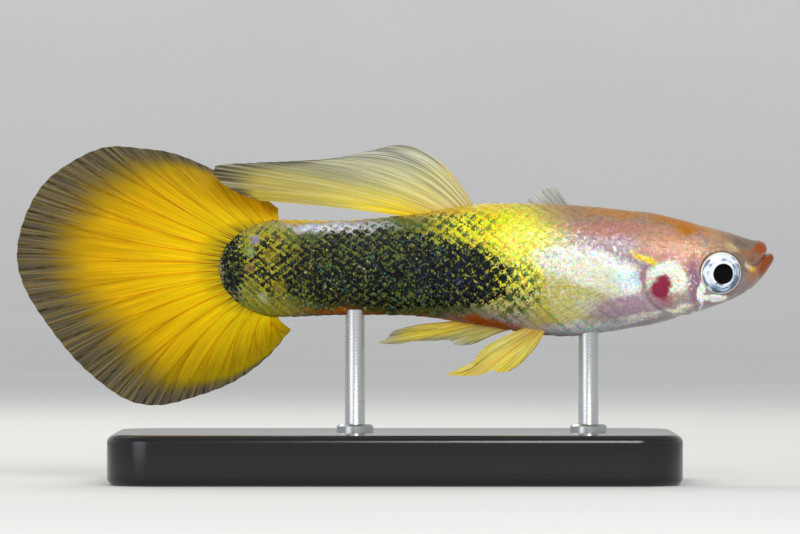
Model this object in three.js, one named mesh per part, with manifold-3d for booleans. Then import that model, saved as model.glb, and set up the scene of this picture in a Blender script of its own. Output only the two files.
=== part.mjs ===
// A male fancy guppy as a still, life-size museum model on a plain display stand.
// Millimetres, +Z up. The fish faces +X and swims level, with its left side towards +Y.
// The origin lies on the floor, under the middle of the fish's whole length.
import * as THREE from "three";
import { mergeVertices } from "three/addons/utils/BufferGeometryUtils.js";
import Module from "manifold-3d";

const wasm = await Module();
wasm.setup();

// Driving sizes
const AXIS_HEIGHT = 13; // of the fish's long axis over the floor
const GAP = 0.26; // kept between touching pieces
const HEAD_SEAM = 14.5; // where the head ends and the trunk begins, along x
const STALK_SEAM = 1.2; // where the trunk ends and the tail stalk begins
const TAIL_ROUND_FROM = -7; // behind this the tail stalk closes in a round lobe
const TAIL_ROUND_LENGTH = 3.62;
const SIDES_OF_BODY = 32;

// Stations of the body from the tail forwards. Heights are over the long axis.
// wide is the height at which a section is widest, crown and keel are how square it is
// above and below that height, where 2 is an ellipse.
const STATIONS = [
  { at: "tail end", x: -10.6, back: 2.62, belly: -3.05, half: 0.3, wide: -0.2, crown: 2, keel: 2 },
  { at: "fin root", x: -7, back: 2.76, belly: -3.16, half: 0.72, wide: -0.2, crown: 2, keel: 2 },
  { at: "stalk", x: -3.3, back: 2.71, belly: -3.04, half: 1.02, wide: -0.1, crown: 2, keel: 2 },
  { at: "stalk front", x: 1.2, back: 3.1, belly: -3.1, half: 1.36, wide: 0, crown: 2, keel: 2 },
  { at: "dorsal root", x: 4.9, back: 3.68, belly: -3.62, half: 1.8, wide: 0.1, crown: 2, keel: 1.95 },
  { at: "vent", x: 8.4, back: 3.72, belly: -4.16, half: 2.14, wide: 0, crown: 2.1, keel: 1.9 },
  { at: "deepest", x: 10.4, back: 3.66, belly: -4.32, half: 2.28, wide: -0.1, crown: 2.1, keel: 1.95 },
  { at: "shoulder", x: 13, back: 3.42, belly: -4.02, half: 2.42, wide: -0.1, crown: 2.15, keel: 2.1 },
  { at: "gill edge", x: 15, back: 3.19, belly: -3.68, half: 2.46, wide: -0.1, crown: 2.2, keel: 2.2 },
  { at: "cheek", x: 17.1, back: 2.74, belly: -3.12, half: 2.38, wide: -0.1, crown: 2.35, keel: 2.4 },
  { at: "eye back", x: 18.3, back: 2.4, belly: -2.76, half: 2.25, wide: -0.1, crown: 2.5, keel: 2.6 },
  { at: "eye", x: 19.5, back: 2.1, belly: -2.34, half: 2.04, wide: 0, crown: 2.6, keel: 2.7 },
  { at: "snout", x: 20.7, back: 1.74, belly: -1.86, half: 1.68, wide: 0.2, crown: 2.6, keel: 2.4 },
  { at: "muzzle", x: 21.3, back: 1.53, belly: -1.5, half: 1.44, wide: 0.3, crown: 2.5, keel: 2.2 },
  { at: "upper lip", x: 21.9, back: 1.34, belly: -0.96, half: 1.13, wide: 0.4, crown: 2.3, keel: 2 },
  { at: "mouth", x: 22.3, back: 1.06, belly: -0.36, half: 0.82, wide: 0.45, crown: 2, keel: 2 },
  { at: "jaw tip", x: 22.74, back: 0.54, belly: 0.42, half: 0.12, wide: 0.48, crown: 2, keel: 2 },
];

// A smooth curve through the stations' values of one size.
function alongBody(size) {
  const slopes = STATIONS.map((s, i) => {
    const before = STATIONS[Math.max(i - 1, 0)];
    const after = STATIONS[Math.min(i + 1, STATIONS.length - 1)];
    return (after[size] - before[size]) / (after.x - before.x);
  });
  return (x) => {
    const last = STATIONS.length - 2;
    let i = 0;
    while (i < last && x > STATIONS[i + 1].x) i += 1;
    const [a, b] = [STATIONS[i], STATIONS[i + 1]];
    const span = b.x - a.x;
    const t = THREE.MathUtils.clamp((x - a.x) / span, 0, 1);
    const rise = slopes[i] * span;
    const fall = slopes[i + 1] * span;
    const bend = 3 * (b[size] - a[size]) - 2 * rise - fall;
    const turn = rise + fall - 2 * (b[size] - a[size]);
    return a[size] + t * (rise + t * (bend + t * turn));
  };
}
const curveOf = Object.fromEntries(
  ["back", "belly", "half", "wide", "crown", "keel"].map((size) => [size, alongBody(size)]),
);

// The body's section at x, grown on all sides by grow.
function sectionAt(x, grow = 0) {
  const behind = Math.max(0, TAIL_ROUND_FROM - x) / TAIL_ROUND_LENGTH;
  const round = Math.sqrt(Math.max(0.0004, 1 - behind * behind));
  const wide = curveOf.wide(x);
  return {
    wide,
    up: (curveOf.back(x) - wide) * round + grow,
    down: (wide - curveOf.belly(x)) * round + grow,
    half: curveOf.half(x) + grow,
    crown: curveOf.crown(x),
    keel: curveOf.keel(x),
  };
}

// Half the body's width at x and height z.
function sideAt(x, z) {
  const s = sectionAt(x);
  const above = z >= s.wide;
  const share = Math.min(1, Math.abs(z - s.wide) / (above ? s.up : s.down));
  const power = above ? s.crown : s.keel;
  return s.half * (1 - share ** power) ** (1 / power);
}

// Solids
function solidFrom(points, triangles) {
  const make = (order) =>
    new wasm.Manifold(
      new wasm.Mesh({
        numProp: 3,
        vertProperties: new Float32Array(points.flatMap((p) => [p.x, p.y, p.z])),
        triVerts: new Uint32Array(order.flat()),
      }),
    );
  const made = make(triangles);
  return made.volume() > 0 ? made : make(triangles.map(([a, b, c]) => [a, c, b]));
}

function solidOf(geometry) {
  const bare = geometry.clone();
  bare.deleteAttribute("normal");
  bare.deleteAttribute("uv");
  const merged = mergeVertices(bare, 1e-4);
  return new wasm.Manifold(
    new wasm.Mesh({
      numProp: 3,
      vertProperties: merged.attributes.position.array,
      triVerts: new Uint32Array(merged.index.array),
    }),
  );
}

function geometryOf(solid) {
  const mesh = solid.getMesh();
  const geometry = new THREE.BufferGeometry();
  geometry.setAttribute("position", new THREE.BufferAttribute(mesh.vertProperties, 3));
  geometry.setIndex(new THREE.BufferAttribute(mesh.triVerts, 1));
  geometry.computeVertexNormals();
  return geometry;
}

function largestOf(solid) {
  return solid.decompose().reduce((a, b) => (a.volume() > b.volume() ? a : b));
}

// A closed skin over rings of equal count, with its two ends closed to their middles.
function loft(rings) {
  const count = rings[0].length;
  const points = rings.flat();
  const triangles = [];
  for (let i = 0; i + 1 < rings.length; i += 1)
    for (let j = 0; j < count; j += 1) {
      const [a, b] = [i * count + j, i * count + ((j + 1) % count)];
      triangles.push([a, b, a + count], [b, b + count, a + count]);
    }
  const middleOf = (ring) =>
    ring.reduce((sum, p) => sum.add(p), new THREE.Vector3()).divideScalar(count);
  const first = points.length;
  points.push(middleOf(rings[0]), middleOf(rings.at(-1)));
  const lastRing = (rings.length - 1) * count;
  for (let j = 0; j < count; j += 1) {
    const next = (j + 1) % count;
    triangles.push([first, next, j], [first + 1, lastRing + j, lastRing + next]);
  }
  return solidFrom(points, triangles);
}

// Evenly spread values from a to b, ends included; ease bunches them up towards b.
function spread(a, b, count, ease = (t) => t) {
  return Array.from({ length: count + 1 }, (_, i) => a + (b - a) * ease(i / count));
}
const bunched = (t) => Math.sin((t * Math.PI) / 2);

function bodySolid(grow = 0) {
  const tail = spread(TAIL_ROUND_FROM, STATIONS[0].x, 8, bunched).reverse();
  const stalkAndTrunk = spread(TAIL_ROUND_FROM, 13, 21).slice(1);
  const head = spread(13, 21.3, 15).slice(1);
  const snout = spread(21.3, STATIONS.at(-1).x, 7, bunched).slice(1);
  const rings = [...tail, ...stalkAndTrunk, ...head, ...snout].map((x) => {
    const s = sectionAt(x, grow);
    const outer = x === STATIONS[0].x ? -grow : x === STATIONS.at(-1).x ? grow : 0;
    return Array.from({ length: SIDES_OF_BODY }, (_, k) => {
      const angle = (2 * Math.PI * k) / SIDES_OF_BODY;
      const [c, n] = [Math.cos(angle), Math.sin(angle)];
      const power = 2 / (n >= 0 ? s.crown : s.keel);
      const y = s.half * Math.sign(c) * Math.abs(c) ** power;
      const z = s.wide + (n >= 0 ? s.up : s.down) * Math.sign(n) * Math.abs(n) ** power;
      return new THREE.Vector3(x + outer, y, z);
    });
  });
  return loft(rings);
}

function block(x0, x1, halfWidth = 20, height = 60) {
  const box = new THREE.BoxGeometry(x1 - x0, 2 * halfWidth, height);
  return solidOf(box.translate((x0 + x1) / 2, 0, 0));
}

// A shape drawn in x and z, made solid from y0 to y1.
function prism(shape, y0, y1, segments = 12) {
  const flat = new THREE.ExtrudeGeometry(shape, {
    depth: y1 - y0,
    bevelEnabled: false,
    curveSegments: segments,
  });
  return solidOf(flat.rotateX(Math.PI / 2).translate(0, y1, 0));
}

// The whole body, and the same body grown by the gap, which cuts what stands on it.
const body = bodySolid();
const clearance = bodySolid(GAP);

// Eyes: a ball that stands a little proud, with a flat iris and a raised round pupil
const EYE = { x: 19.44, z: -0.48, radius: 1.16, pupil: 0.58, depth: 0.55, bulge: 0.42 };
const RIM_WIRE = 0.14;
const EYE_FACETS = 24;

function eyeProfile(grow) {
  const { radius, pupil, depth, bulge } = EYE;
  return [
    [0, -depth],
    [radius - 0.1, -depth],
    [radius, -0.2],
    [radius, 0],
    [radius * 0.93, bulge * 0.4],
    [radius * 0.78, bulge * 0.7],
    [pupil + 0.1, bulge * 0.85],
    [pupil, bulge],
    [pupil * 0.55, bulge * 1.25],
    [0, bulge * 1.33],
  ].map(([r, h]) => new THREE.Vector2(r > 0 ? r + grow : 0, h));
}

function turned(profile, facets, side) {
  const lathe = new THREE.LatheGeometry(profile, facets);
  const surface = sideAt(EYE.x, EYE.z) - 0.06;
  if (side < 0) lathe.rotateX(Math.PI);
  return solidOf(lathe.translate(EYE.x, side * surface, EYE.z));
}

function socket(side) {
  const r = EYE.radius + GAP;
  const floor = -EYE.depth - GAP;
  const profile = [[0, floor], [r, floor], [r, 2], [0, 2]];
  return turned(profile.map(([x, y]) => new THREE.Vector2(x, y)), EYE_FACETS, side);
}

// The fleshy rim round each eye, which follows the side of the head
function orbitRim(side) {
  const radius = EYE.radius + GAP + RIM_WIRE * 0.4;
  const rim = new THREE.TorusGeometry(radius, RIM_WIRE, 6, EYE_FACETS).rotateX(Math.PI / 2);
  const points = rim.attributes.position;
  for (let i = 0; i < points.count; i += 1) {
    const angle = Math.atan2(points.getZ(i), points.getX(i));
    const x = EYE.x + radius * Math.cos(angle);
    const z = EYE.z + radius * Math.sin(angle);
    points.setXYZ(
      i,
      points.getX(i) + EYE.x,
      points.getY(i) + side * (sideAt(x, z) - RIM_WIRE * 0.3),
      points.getZ(i) + EYE.z,
    );
  }
  return solidOf(rim);
}

// Gill covers: D-shaped plates let into the sides of the head and raised a little
const GILL = { front: 17.7, rear: 14.95, top: 0.5, bottom: -3, plate: 0.5, raised: 0.14 };

function gillShape(grow) {
  const middle = (GILL.top + GILL.bottom) / 2;
  const shape = new THREE.Shape();
  shape.moveTo(GILL.front + grow, middle - (GILL.top - middle) * 0.72);
  shape.quadraticCurveTo(
    GILL.front + 0.3 + grow,
    middle,
    GILL.front + grow,
    middle + (GILL.top - middle) * 0.72,
  );
  shape.absellipse(
    GILL.front - 0.45,
    middle,
    GILL.front - 0.45 - GILL.rear + grow,
    GILL.top - middle + grow,
    Math.PI / 2,
    (3 * Math.PI) / 2,
    false,
  );
  return shape;
}

function gillSide(grow, side) {
  return prism(gillShape(grow), side > 0 ? 0.3 : -5, side > 0 ? 5 : -0.3);
}

const gillPlates = Object.fromEntries(
  [["left", 1], ["right", -1]].map(([name, side]) => {
    const shell = bodySolid(GILL.raised).subtract(bodySolid(-GILL.plate));
    return [name, largestOf(shell.intersect(gillSide(0, side)))];
  }),
);
const gillBed = bodySolid(-GILL.plate - GAP);

// Mouth: opens upwards at the tip of the snout. The lower jaw reaches past the upper lip.
const MOUTH = { frontX: 22.35, frontZ: 0.78, cornerX: 21.5, cornerZ: 0, chinX: 21, chinZ: -1.9 };
const LIP_RADIUS = 0.2;

function jawShape(grow) {
  const shape = new THREE.Shape();
  const past = 2;
  const slope = (MOUTH.frontZ - MOUTH.cornerZ) / (MOUTH.frontX - MOUTH.cornerX);
  shape.moveTo(MOUTH.frontX + past, MOUTH.frontZ + past * slope + grow);
  shape.lineTo(MOUTH.cornerX - grow * 0.5, MOUTH.cornerZ + grow);
  shape.lineTo(MOUTH.chinX - grow, MOUTH.chinZ);
  shape.lineTo(MOUTH.chinX - grow, MOUTH.chinZ - past);
  shape.lineTo(MOUTH.frontX + past, MOUTH.chinZ - past);
  return shape;
}

// A round ridge that follows the mouth's edge from corner to corner, shifted in x and z
function lip(dx, dz) {
  const steps = 14;
  const facets = 8;
  const halfMouth = sideAt(MOUTH.cornerX, MOUTH.cornerZ) - 0.06;
  const path = spread(-1, 1, steps).map((t) => {
    const angle = (t * Math.PI) / 2;
    return new THREE.Vector3(
      THREE.MathUtils.lerp(MOUTH.cornerX, MOUTH.frontX, Math.cos(angle)) + dx,
      halfMouth * Math.sin(angle),
      THREE.MathUtils.lerp(MOUTH.cornerZ, MOUTH.frontZ, Math.cos(angle)) + dz,
    );
  });
  const curve = new THREE.CatmullRomCurve3(path);
  const frames = curve.computeFrenetFrames(steps, false);
  const rings = spread(0, 1, steps).map((t, i) => {
    const radius = LIP_RADIUS * Math.sin(Math.PI * (0.06 + 0.88 * t)) ** 0.5;
    const centre = curve.getPointAt(t);
    return Array.from({ length: facets }, (_, k) => {
      const angle = (2 * Math.PI * k) / facets;
      return centre
        .clone()
        .addScaledVector(frames.normals[i], radius * Math.cos(angle))
        .addScaledVector(frames.binormals[i], radius * Math.sin(angle));
    });
  });
  return loft(rings);
}

// Nostrils: a small pit on each side between the eye and the upper lip
const NOSTRIL = { x: 20.9, z: 1.25, radius: 0.17 };

function nostril(side) {
  const pit = new THREE.SphereGeometry(NOSTRIL.radius, 10, 6);
  return solidOf(pit.translate(NOSTRIL.x, side * sideAt(NOSTRIL.x, NOSTRIL.z), NOSTRIL.z));
}

function headSolid() {
  const front = HEAD_SEAM + GAP / 2;
  let head = body.intersect(block(front, 30));
  for (const side of [1, -1]) {
    head = head.add(orbitRim(side)).subtract(socket(side));
    head = head.subtract(gillSide(GAP, side).subtract(gillBed));
    head = head.subtract(nostril(side));
  }
  head = head.add(lip(-0.16, 0.3));
  return largestOf(head.subtract(prism(jawShape(GAP), -5, 5)));
}

function jawSolid() {
  const jaw = body.intersect(prism(jawShape(0), -5, 5)).add(lip(0.16, -0.16));
  return largestOf(jaw.intersect(prism(jawShape(0), -5, 5)));
}

// Fins: a membrane with a ridge over each ray, on both faces
const MEMBRANE = 0.5;
const MARGIN = 0.34; // thickness at the free edge

// root, lead and edge give a ray's foot, its pull and its tip for u from 0 to 1 across the
// fin. off gives how far a point stands out of the fin's plane. Points are [x, z].
function finSolid({ rays, rows, ridge, notch, root, lead, edge, off, place }) {
  const columns = 2 * (rays - 1);
  const pointAt = (u, t, shorter = 0) => {
    const [a, b, c] = [root(u), lead(u), edge(u)];
    const reach = Math.hypot(c[0] - a[0], c[1] - a[1]);
    const s = t * (1 - shorter / reach);
    const [p, q, r] = [(1 - s) ** 2, 2 * s * (1 - s), s * s];
    return new THREE.Vector3(
      p * a[0] + q * b[0] + r * c[0],
      off(u, s),
      p * a[1] + q * b[1] + r * c[1],
    );
  };
  const faces = [[], []];
  for (let i = 0; i <= rows; i += 1)
    for (let j = 0; j <= columns; j += 1) {
      const [u, t, valley] = [j / columns, i / rows, j % 2];
      const plain = THREE.MathUtils.lerp(MEMBRANE, MARGIN, t ** 3);
      const raised = valley ? 0 : 2 * ridge * (1 - 0.5 * t);
      const centre = pointAt(u, t, valley ? notch : 0);
      const half = (plain + raised) / 2;
      for (const [face, side] of [[0, 1], [1, -1]])
        faces[face].push(centre.clone().add(new THREE.Vector3(0, side * half, 0)));
    }
  const points = faces.flat();
  if (place) points.forEach((p) => p.applyMatrix4(place));
  const width = columns + 1;
  const back = width * (rows + 1);
  const triangles = [];
  for (let i = 0; i < rows; i += 1)
    for (let j = 0; j < columns; j += 1) {
      const [a, b, c, d] = [i * width + j, i * width + j + 1, (i + 1) * width + j, (i + 1) * width + j + 1];
      triangles.push([a, b, c], [b, d, c]);
      triangles.push([back + a, back + c, back + b], [back + b, back + c, back + d]);
    }
  const wall = (a, b) => triangles.push([b, a, back + a], [b, back + a, back + b]);
  for (let j = 0; j < columns; j += 1) {
    wall(j, j + 1);
    wall(rows * width + j + 1, rows * width + j);
  }
  for (let i = 0; i < rows; i += 1) {
    wall((i + 1) * width, i * width);
    wall(i * width + columns, (i + 1) * width + columns);
  }
  return solidFrom(points, triangles);
}

// A smooth open curve through a few points [x, z]. It returns the point at u.
function through(...points) {
  const curve = new THREE.SplineCurve(points.map(([x, z]) => new THREE.Vector2(x, z)));
  return (u) => curve.getPointAt(THREE.MathUtils.clamp(u, 0, 1)).toArray();
}

const line = (a, b) => (u) => [THREE.MathUtils.lerp(a[0], b[0], u), THREE.MathUtils.lerp(a[1], b[1], u)];
const wave = (u, waves) => Math.sin(2 * Math.PI * waves * u);

// Tail fin: a round fan whose rays leave the tail lobe all round its end
const CAUDAL_EDGE = through(
  [-7.0, 3.45], [-9.3, 4.92], [-12.9, 6.6], [-15.3, 7.02], [-17.4, 7.08], [-19.3, 6.3],
  [-21.1, 4.9], [-22.3, 2.8], [-22.74, 0.6], [-22.2, -1.5], [-20.6, -4], [-18.7, -6.2],
  [-16.4, -8], [-14.4, -8.45], [-12.2, -8], [-9.8, -7.1], [-7.7, -5.6], [-6.2, -3.9],
);

function caudalRoot(u) {
  const angle = THREE.MathUtils.degToRad(THREE.MathUtils.lerp(98, 258, u));
  return [-6.3 + 3.3 * Math.cos(angle), -0.2 + 2.5 * Math.sin(angle)];
}

function caudalLead(u) {
  const [a, c] = [caudalRoot(u), CAUDAL_EDGE(u)];
  const angle = THREE.MathUtils.degToRad(THREE.MathUtils.lerp(128, 232, u));
  const pull = 0.42 * Math.hypot(c[0] - a[0], c[1] - a[1]);
  return [a[0] + pull * Math.cos(angle), a[1] + pull * Math.sin(angle)];
}

const caudal = finSolid({
  rays: 23,
  rows: 10,
  ridge: 0.12,
  notch: 0.16,
  root: caudalRoot,
  lead: caudalLead,
  edge: CAUDAL_EDGE,
  off: (u, t) => t * t * (0.25 + 0.75 * u * u + 0.14 * wave(u, 3)),
});

// Dorsal fin: a long flag that sweeps back beside the top of the tail fin
const DORSAL = { front: [4.9, 3.3], rear: [1.8, 2.7], swing: -1.75 };
const DORSAL_EDGE = through(
  [-0.7, 7.05], [-3.3, 6.45], [-6, 6.22], [-9, 6.1], [-10.9, 5.85], [-10.2, 4.7], [-8.2, 3.85],
);

const dorsal = finSolid({
  rays: 9,
  rows: 12,
  ridge: 0.1,
  notch: 0.16,
  root: line(DORSAL.front, DORSAL.rear),
  lead: (u) => line([2.4, 7.9], [-2.5, 3.45])(u ** 0.85),
  edge: DORSAL_EDGE,
  off: (u, t) => DORSAL.swing * t ** 1.6 * (0.35 + 0.65 * Math.min(1, 2.2 * u)) + 0.06 * t * wave(u, 2),
});

// Anal fin: the male's long, narrow one, laid back along the belly
const anal = finSolid({
  rays: 6,
  rows: 9,
  ridge: 0.07,
  notch: 0.03,
  root: line([7.7, -3.7], [4.5, -3.1]),
  lead: line([5.9, -4.15], [3.2, -3.45]),
  edge: through([4.5, -4.76], [2.9, -4.9], [1.1, -4.8], [-1, -4.6], [-0.3, -4.1], [1, -3.7], [2.1, -3.5]),
  off: (u, t) => 0.25 * t * t,
});

// Pelvic fins: a leaf whose one long ray bends back to a point, and its more upright twin
function pelvic(side, lead, edge, splay) {
  return finSolid({
    rays: 6,
    rows: 8,
    ridge: 0.07,
    notch: 0.03,
    root: line([8, -3.7], [9.1, -3.75]),
    lead,
    edge,
    off: (u, t) => side * (0.5 + splay * t + 0.15 * t * wave(u, 1)),
  });
}
const pelvicRight = pelvic(
  -1,
  line([6.7, -4.1], [8.4, -5.1]),
  through([5.3, -4.8], [4.7, -5.3], [4.2, -5.8], [3.12, -6.45], [4.2, -6.7], [5.5, -6.62], [6.8, -6.05]),
  0.9,
);
const pelvicLeft = pelvic(
  1,
  line([6.6, -4.3], [8.8, -4.6]),
  through([5.9, -5.4], [6, -6.1], [6.7, -6.45], [7.4, -6.1], [8.1, -5.4]),
  1,
);

// Pectoral fins: clear round fans behind the gill covers. The right one is swept back and
// out, and the left one is raised over the back.
const PECTORAL = { x: 13.8, z: -0.9, length: 8, foot: 0.45, spreadDeg: 28 };

function pectoral(side, along, up) {
  const out = new THREE.Vector3(...along).normalize();
  const across = new THREE.Vector3(...up).addScaledVector(out, -out.dot(new THREE.Vector3(...up)));
  across.normalize();
  const normal = new THREE.Vector3().crossVectors(across, out);
  const foot = new THREE.Vector3(PECTORAL.x, side * (sideAt(PECTORAL.x, PECTORAL.z) - 0.35), PECTORAL.z);
  const place = new THREE.Matrix4().makeBasis(out, normal, across).setPosition(foot);
  const half = THREE.MathUtils.degToRad(PECTORAL.spreadDeg);
  const edge = (u) => {
    const angle = THREE.MathUtils.lerp(half, -half, u);
    const reach = PECTORAL.length * (1 - 0.1 * (1 - u) ** 3 - 0.3 * u ** 3);
    return [reach * Math.cos(angle), reach * Math.sin(angle)];
  };
  return finSolid({
    rays: 10,
    rows: 6,
    ridge: 0.07,
    notch: 0.12,
    root: line([0, PECTORAL.foot], [0, -PECTORAL.foot]),
    lead: (u) => edge(u).map((v) => 0.5 * v),
    edge,
    off: (u, t) => 0.5 * t * t - 0.5 * t * (2 * u - 1) ** 2,
    place,
  });
}
const pectoralRight = pectoral(-1, [-5.3, -5.4, -0.5], [0, 0, 1]);
const pectoralLeft = pectoral(1, [-6.9, 1.4, 3.1], [0, 0, 1]);

const onBody = (fin) => largestOf(fin.subtract(clearance));

// Display stand: a low slab with soft edges, and two rods up to the belly
const BASE = { length: 34, width: 20, height: 3, corner: 3, bevel: 0.5 };
const ROD = { radius: 0.6, frontX: 11.6, rearX: -2.4, facets: 16 };

function baseSolid() {
  const { length, width, height, corner, bevel } = BASE;
  const [x, y] = [length / 2 - bevel, width / 2 - bevel];
  const shape = new THREE.Shape();
  shape.absarc(x - corner, y - corner, corner, 0, Math.PI / 2);
  shape.absarc(corner - x, y - corner, corner, Math.PI / 2, Math.PI);
  shape.absarc(corner - x, corner - y, corner, Math.PI, 1.5 * Math.PI);
  shape.absarc(x - corner, corner - y, corner, 1.5 * Math.PI, 2 * Math.PI);
  const slab = new THREE.ExtrudeGeometry(shape, {
    depth: height - 2 * bevel,
    bevelThickness: bevel,
    bevelSize: bevel,
    bevelSegments: 2,
    curveSegments: 5,
  });
  return solidOf(slab.translate(0, 0, bevel));
}

function rodSolid(x) {
  const bottom = BASE.height + GAP - AXIS_HEIGHT;
  const rod = new THREE.CylinderGeometry(ROD.radius, ROD.radius, -bottom, ROD.facets);
  rod.rotateX(Math.PI / 2).translate(x, 0, bottom / 2);
  return largestOf(solidOf(rod).subtract(clearance));
}

// The scene graph
function finish(color, roughness, metalness = 0) {
  return new THREE.MeshStandardMaterial({ color, roughness, metalness });
}

function piece(name, solid, material) {
  const mesh = new THREE.Mesh(geometryOf(solid), material);
  mesh.name = name;
  return mesh;
}

const flesh = finish("#c79a7c", 0.4);
const scaled = finish("#3e4a34", 0.4);
const silver = finish("#dfe2e4", 0.25);
const yellowFin = finish("#e2b408", 0.45);
const clearFin = finish("#c9c8a8", 0.4);

const fish = new THREE.Group();
fish.position.z = AXIS_HEIGHT;
fish.add(
  piece("head", headSolid(), flesh),
  piece("lower_jaw", jawSolid(), flesh),
  piece("gill_cover_left", gillPlates.left, silver),
  piece("gill_cover_right", gillPlates.right, silver),
  piece("eye_left", turned(eyeProfile(0), EYE_FACETS, 1), silver),
  piece("eye_right", turned(eyeProfile(0), EYE_FACETS, -1), silver),
  piece("trunk", body.intersect(block(STALK_SEAM + GAP / 2, HEAD_SEAM - GAP / 2)), scaled),
  piece("tail_stalk", body.intersect(block(-30, STALK_SEAM - GAP / 2)), scaled),
  piece("caudal_fin", onBody(caudal), yellowFin),
  piece("dorsal_fin", onBody(dorsal), yellowFin),
  piece("anal_fin", onBody(anal), yellowFin),
  piece("pelvic_fin_left", onBody(pelvicLeft), yellowFin),
  piece("pelvic_fin_right", onBody(pelvicRight), yellowFin),
  piece("pectoral_fin_left", onBody(pectoralLeft), clearFin),
  piece("pectoral_fin_right", onBody(pectoralRight), clearFin),
  piece("stand_rod_front", rodSolid(ROD.frontX), finish("#b9bcc0", 0.3, 1)),
  piece("stand_rod_rear", rodSolid(ROD.rearX), finish("#b9bcc0", 0.3, 1)),
);

const model = new THREE.Group();
model.add(fish, piece("stand_base", baseSolid(), finish("#1b1b1d", 0.3)));

export default model;
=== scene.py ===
import math

import bpy
import numpy as np
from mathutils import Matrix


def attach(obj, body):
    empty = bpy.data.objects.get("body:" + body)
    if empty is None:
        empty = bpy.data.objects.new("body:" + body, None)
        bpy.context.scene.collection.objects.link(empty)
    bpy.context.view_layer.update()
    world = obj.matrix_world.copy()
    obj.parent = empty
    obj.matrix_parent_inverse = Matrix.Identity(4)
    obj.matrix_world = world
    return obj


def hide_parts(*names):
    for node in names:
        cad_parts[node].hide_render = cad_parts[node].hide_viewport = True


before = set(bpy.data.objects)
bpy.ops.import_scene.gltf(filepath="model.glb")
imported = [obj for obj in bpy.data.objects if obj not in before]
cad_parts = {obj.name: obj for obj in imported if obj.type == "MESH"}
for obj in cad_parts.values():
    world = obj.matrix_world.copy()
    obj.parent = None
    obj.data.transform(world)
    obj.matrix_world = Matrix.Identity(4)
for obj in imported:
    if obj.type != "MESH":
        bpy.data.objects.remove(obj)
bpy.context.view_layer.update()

# The stand's base: a thin slab of black cast acrylic, sawn, flame-polished on its
# edges and buffed on top. It lies on the shelf and carries both rods.
MM = 0.001
BASE_LENGTH = 34.0
BASE_WIDTH = 20.0
BASE_HEIGHT = 3.0
BASE_CORNER = 3.0
BASE_EDGE = 0.5
# Sizes of the ripple and of the smears that buffing leaves
RIPPLE, SMEAR = 6, 3


def linear(hex_colour):
    """An sRGB hex colour as the linear RGBA that Blender's sockets take."""
    channels = [int(hex_colour[i : i + 2], 16) / 255 for i in (1, 3, 5)]
    curve = [c / 12.92 if c <= 0.04045 else ((c + 0.055) / 1.055) ** 2.4 for c in channels]
    return (*curve, 1.0)


def add_node(material, kind, inputs=None, ramp=None, **settings):
    """Adds one shader node. inputs gives a socket its value, or the output that feeds it."""
    tree = material.node_tree
    node = tree.nodes.new("ShaderNode" + kind)
    for name, value in settings.items():
        setattr(node, name, value)
    if ramp:
        stops = node.color_ramp.elements
        while len(stops) < len(ramp):
            stops.new(0.5)
        for stop, (place, colour) in zip(stops, ramp):
            stop.position = place
            stop.color = linear(colour)
    for socket, value in (inputs or {}).items():
        if isinstance(value, bpy.types.NodeSocket):
            tree.links.new(value, node.inputs[socket])
        else:
            node.inputs[socket].default_value = value
    return node


def new_material(name):
    """An empty node material and its output."""
    material = bpy.data.materials.new(name)
    material.use_nodes = True
    material.node_tree.nodes.clear()
    return material, add_node(material, "OutputMaterial")


def plug_in(material, shader, output):
    material.node_tree.links.new(shader.outputs[0], output.inputs["Surface"])


def mesh_piece(name, points_mm, faces, material, sharp_degrees=None):
    """A mesh object from points in millimetres, smooth but for edges sharper than an angle."""
    mesh = bpy.data.meshes.new(name)
    points = np.asarray(points_mm, dtype=float) * MM
    mesh.from_pydata(points.tolist(), [], [list(map(int, face)) for face in faces])
    mesh.polygons.foreach_set("use_smooth", [True] * len(mesh.polygons))
    if sharp_degrees:
        mesh.set_sharp_from_angle(angle=math.radians(sharp_degrees))
    mesh.materials.append(material)
    piece = bpy.data.objects.new(name, mesh)
    bpy.context.collection.objects.link(piece)
    return piece


def band_faces(rings, sides):
    """Quads between rings of equal count that each close on themselves."""
    i, j = np.meshgrid(np.arange(rings - 1), np.arange(sides), indexing="ij")
    following = (j + 1) % sides
    corners = [i * sides + j, i * sides + following, (i + 1) * sides + following, (i + 1) * sides + j]
    return np.stack(corners, axis=-1).reshape(-1, 4).tolist()


def tube_faces(rings, sides):
    """The faces of a tube: quads between its rings, and a cap on either end."""
    last = (rings - 1) * sides
    caps = [list(reversed(range(sides))), list(range(last, last + sides))]
    return band_faces(rings, sides) + caps


def polished_acrylic():
    """Black cast acrylic. Buffing leaves a deep, even gloss with a faint ripple."""
    material, output = new_material("polished_black_acrylic")
    ripple = add_node(material, "TexNoise", {"Scale": 1 / (RIPPLE * MM), "Detail": 2.0}).outputs["Fac"]
    bump = add_node(material, "Bump", {"Height": ripple, "Strength": 0.05, "Distance": 0.05 * MM})
    smears = add_node(material, "TexNoise", {"Scale": 1 / (SMEAR * MM), "Detail": 5.0}).outputs["Fac"]
    gloss = add_node(material, "MapRange", {"Value": smears, "To Min": 0.08, "To Max": 0.2})
    inputs = {
        "Base Color": linear("#0e0e10"),
        "Roughness": gloss.outputs["Result"],
        "IOR": 1.49,
        "Normal": bump.outputs["Normal"],
    }
    plug_in(material, add_node(material, "BsdfPrincipled", inputs), output)
    return material


def rounded_plan(length, width, corner, steps=12):
    """The outline of a rectangle with round corners, seen from above."""
    outline = []
    for quarter, (sx, sy) in enumerate([(1, 1), (-1, 1), (-1, -1), (1, -1)]):
        for step in range(steps + 1):
            angle = math.radians(90 * (quarter + step / steps))
            x = sx * (length / 2 - corner) + corner * math.cos(angle)
            outline.append((x, sy * (width / 2 - corner) + corner * math.sin(angle)))
    return outline


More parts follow.
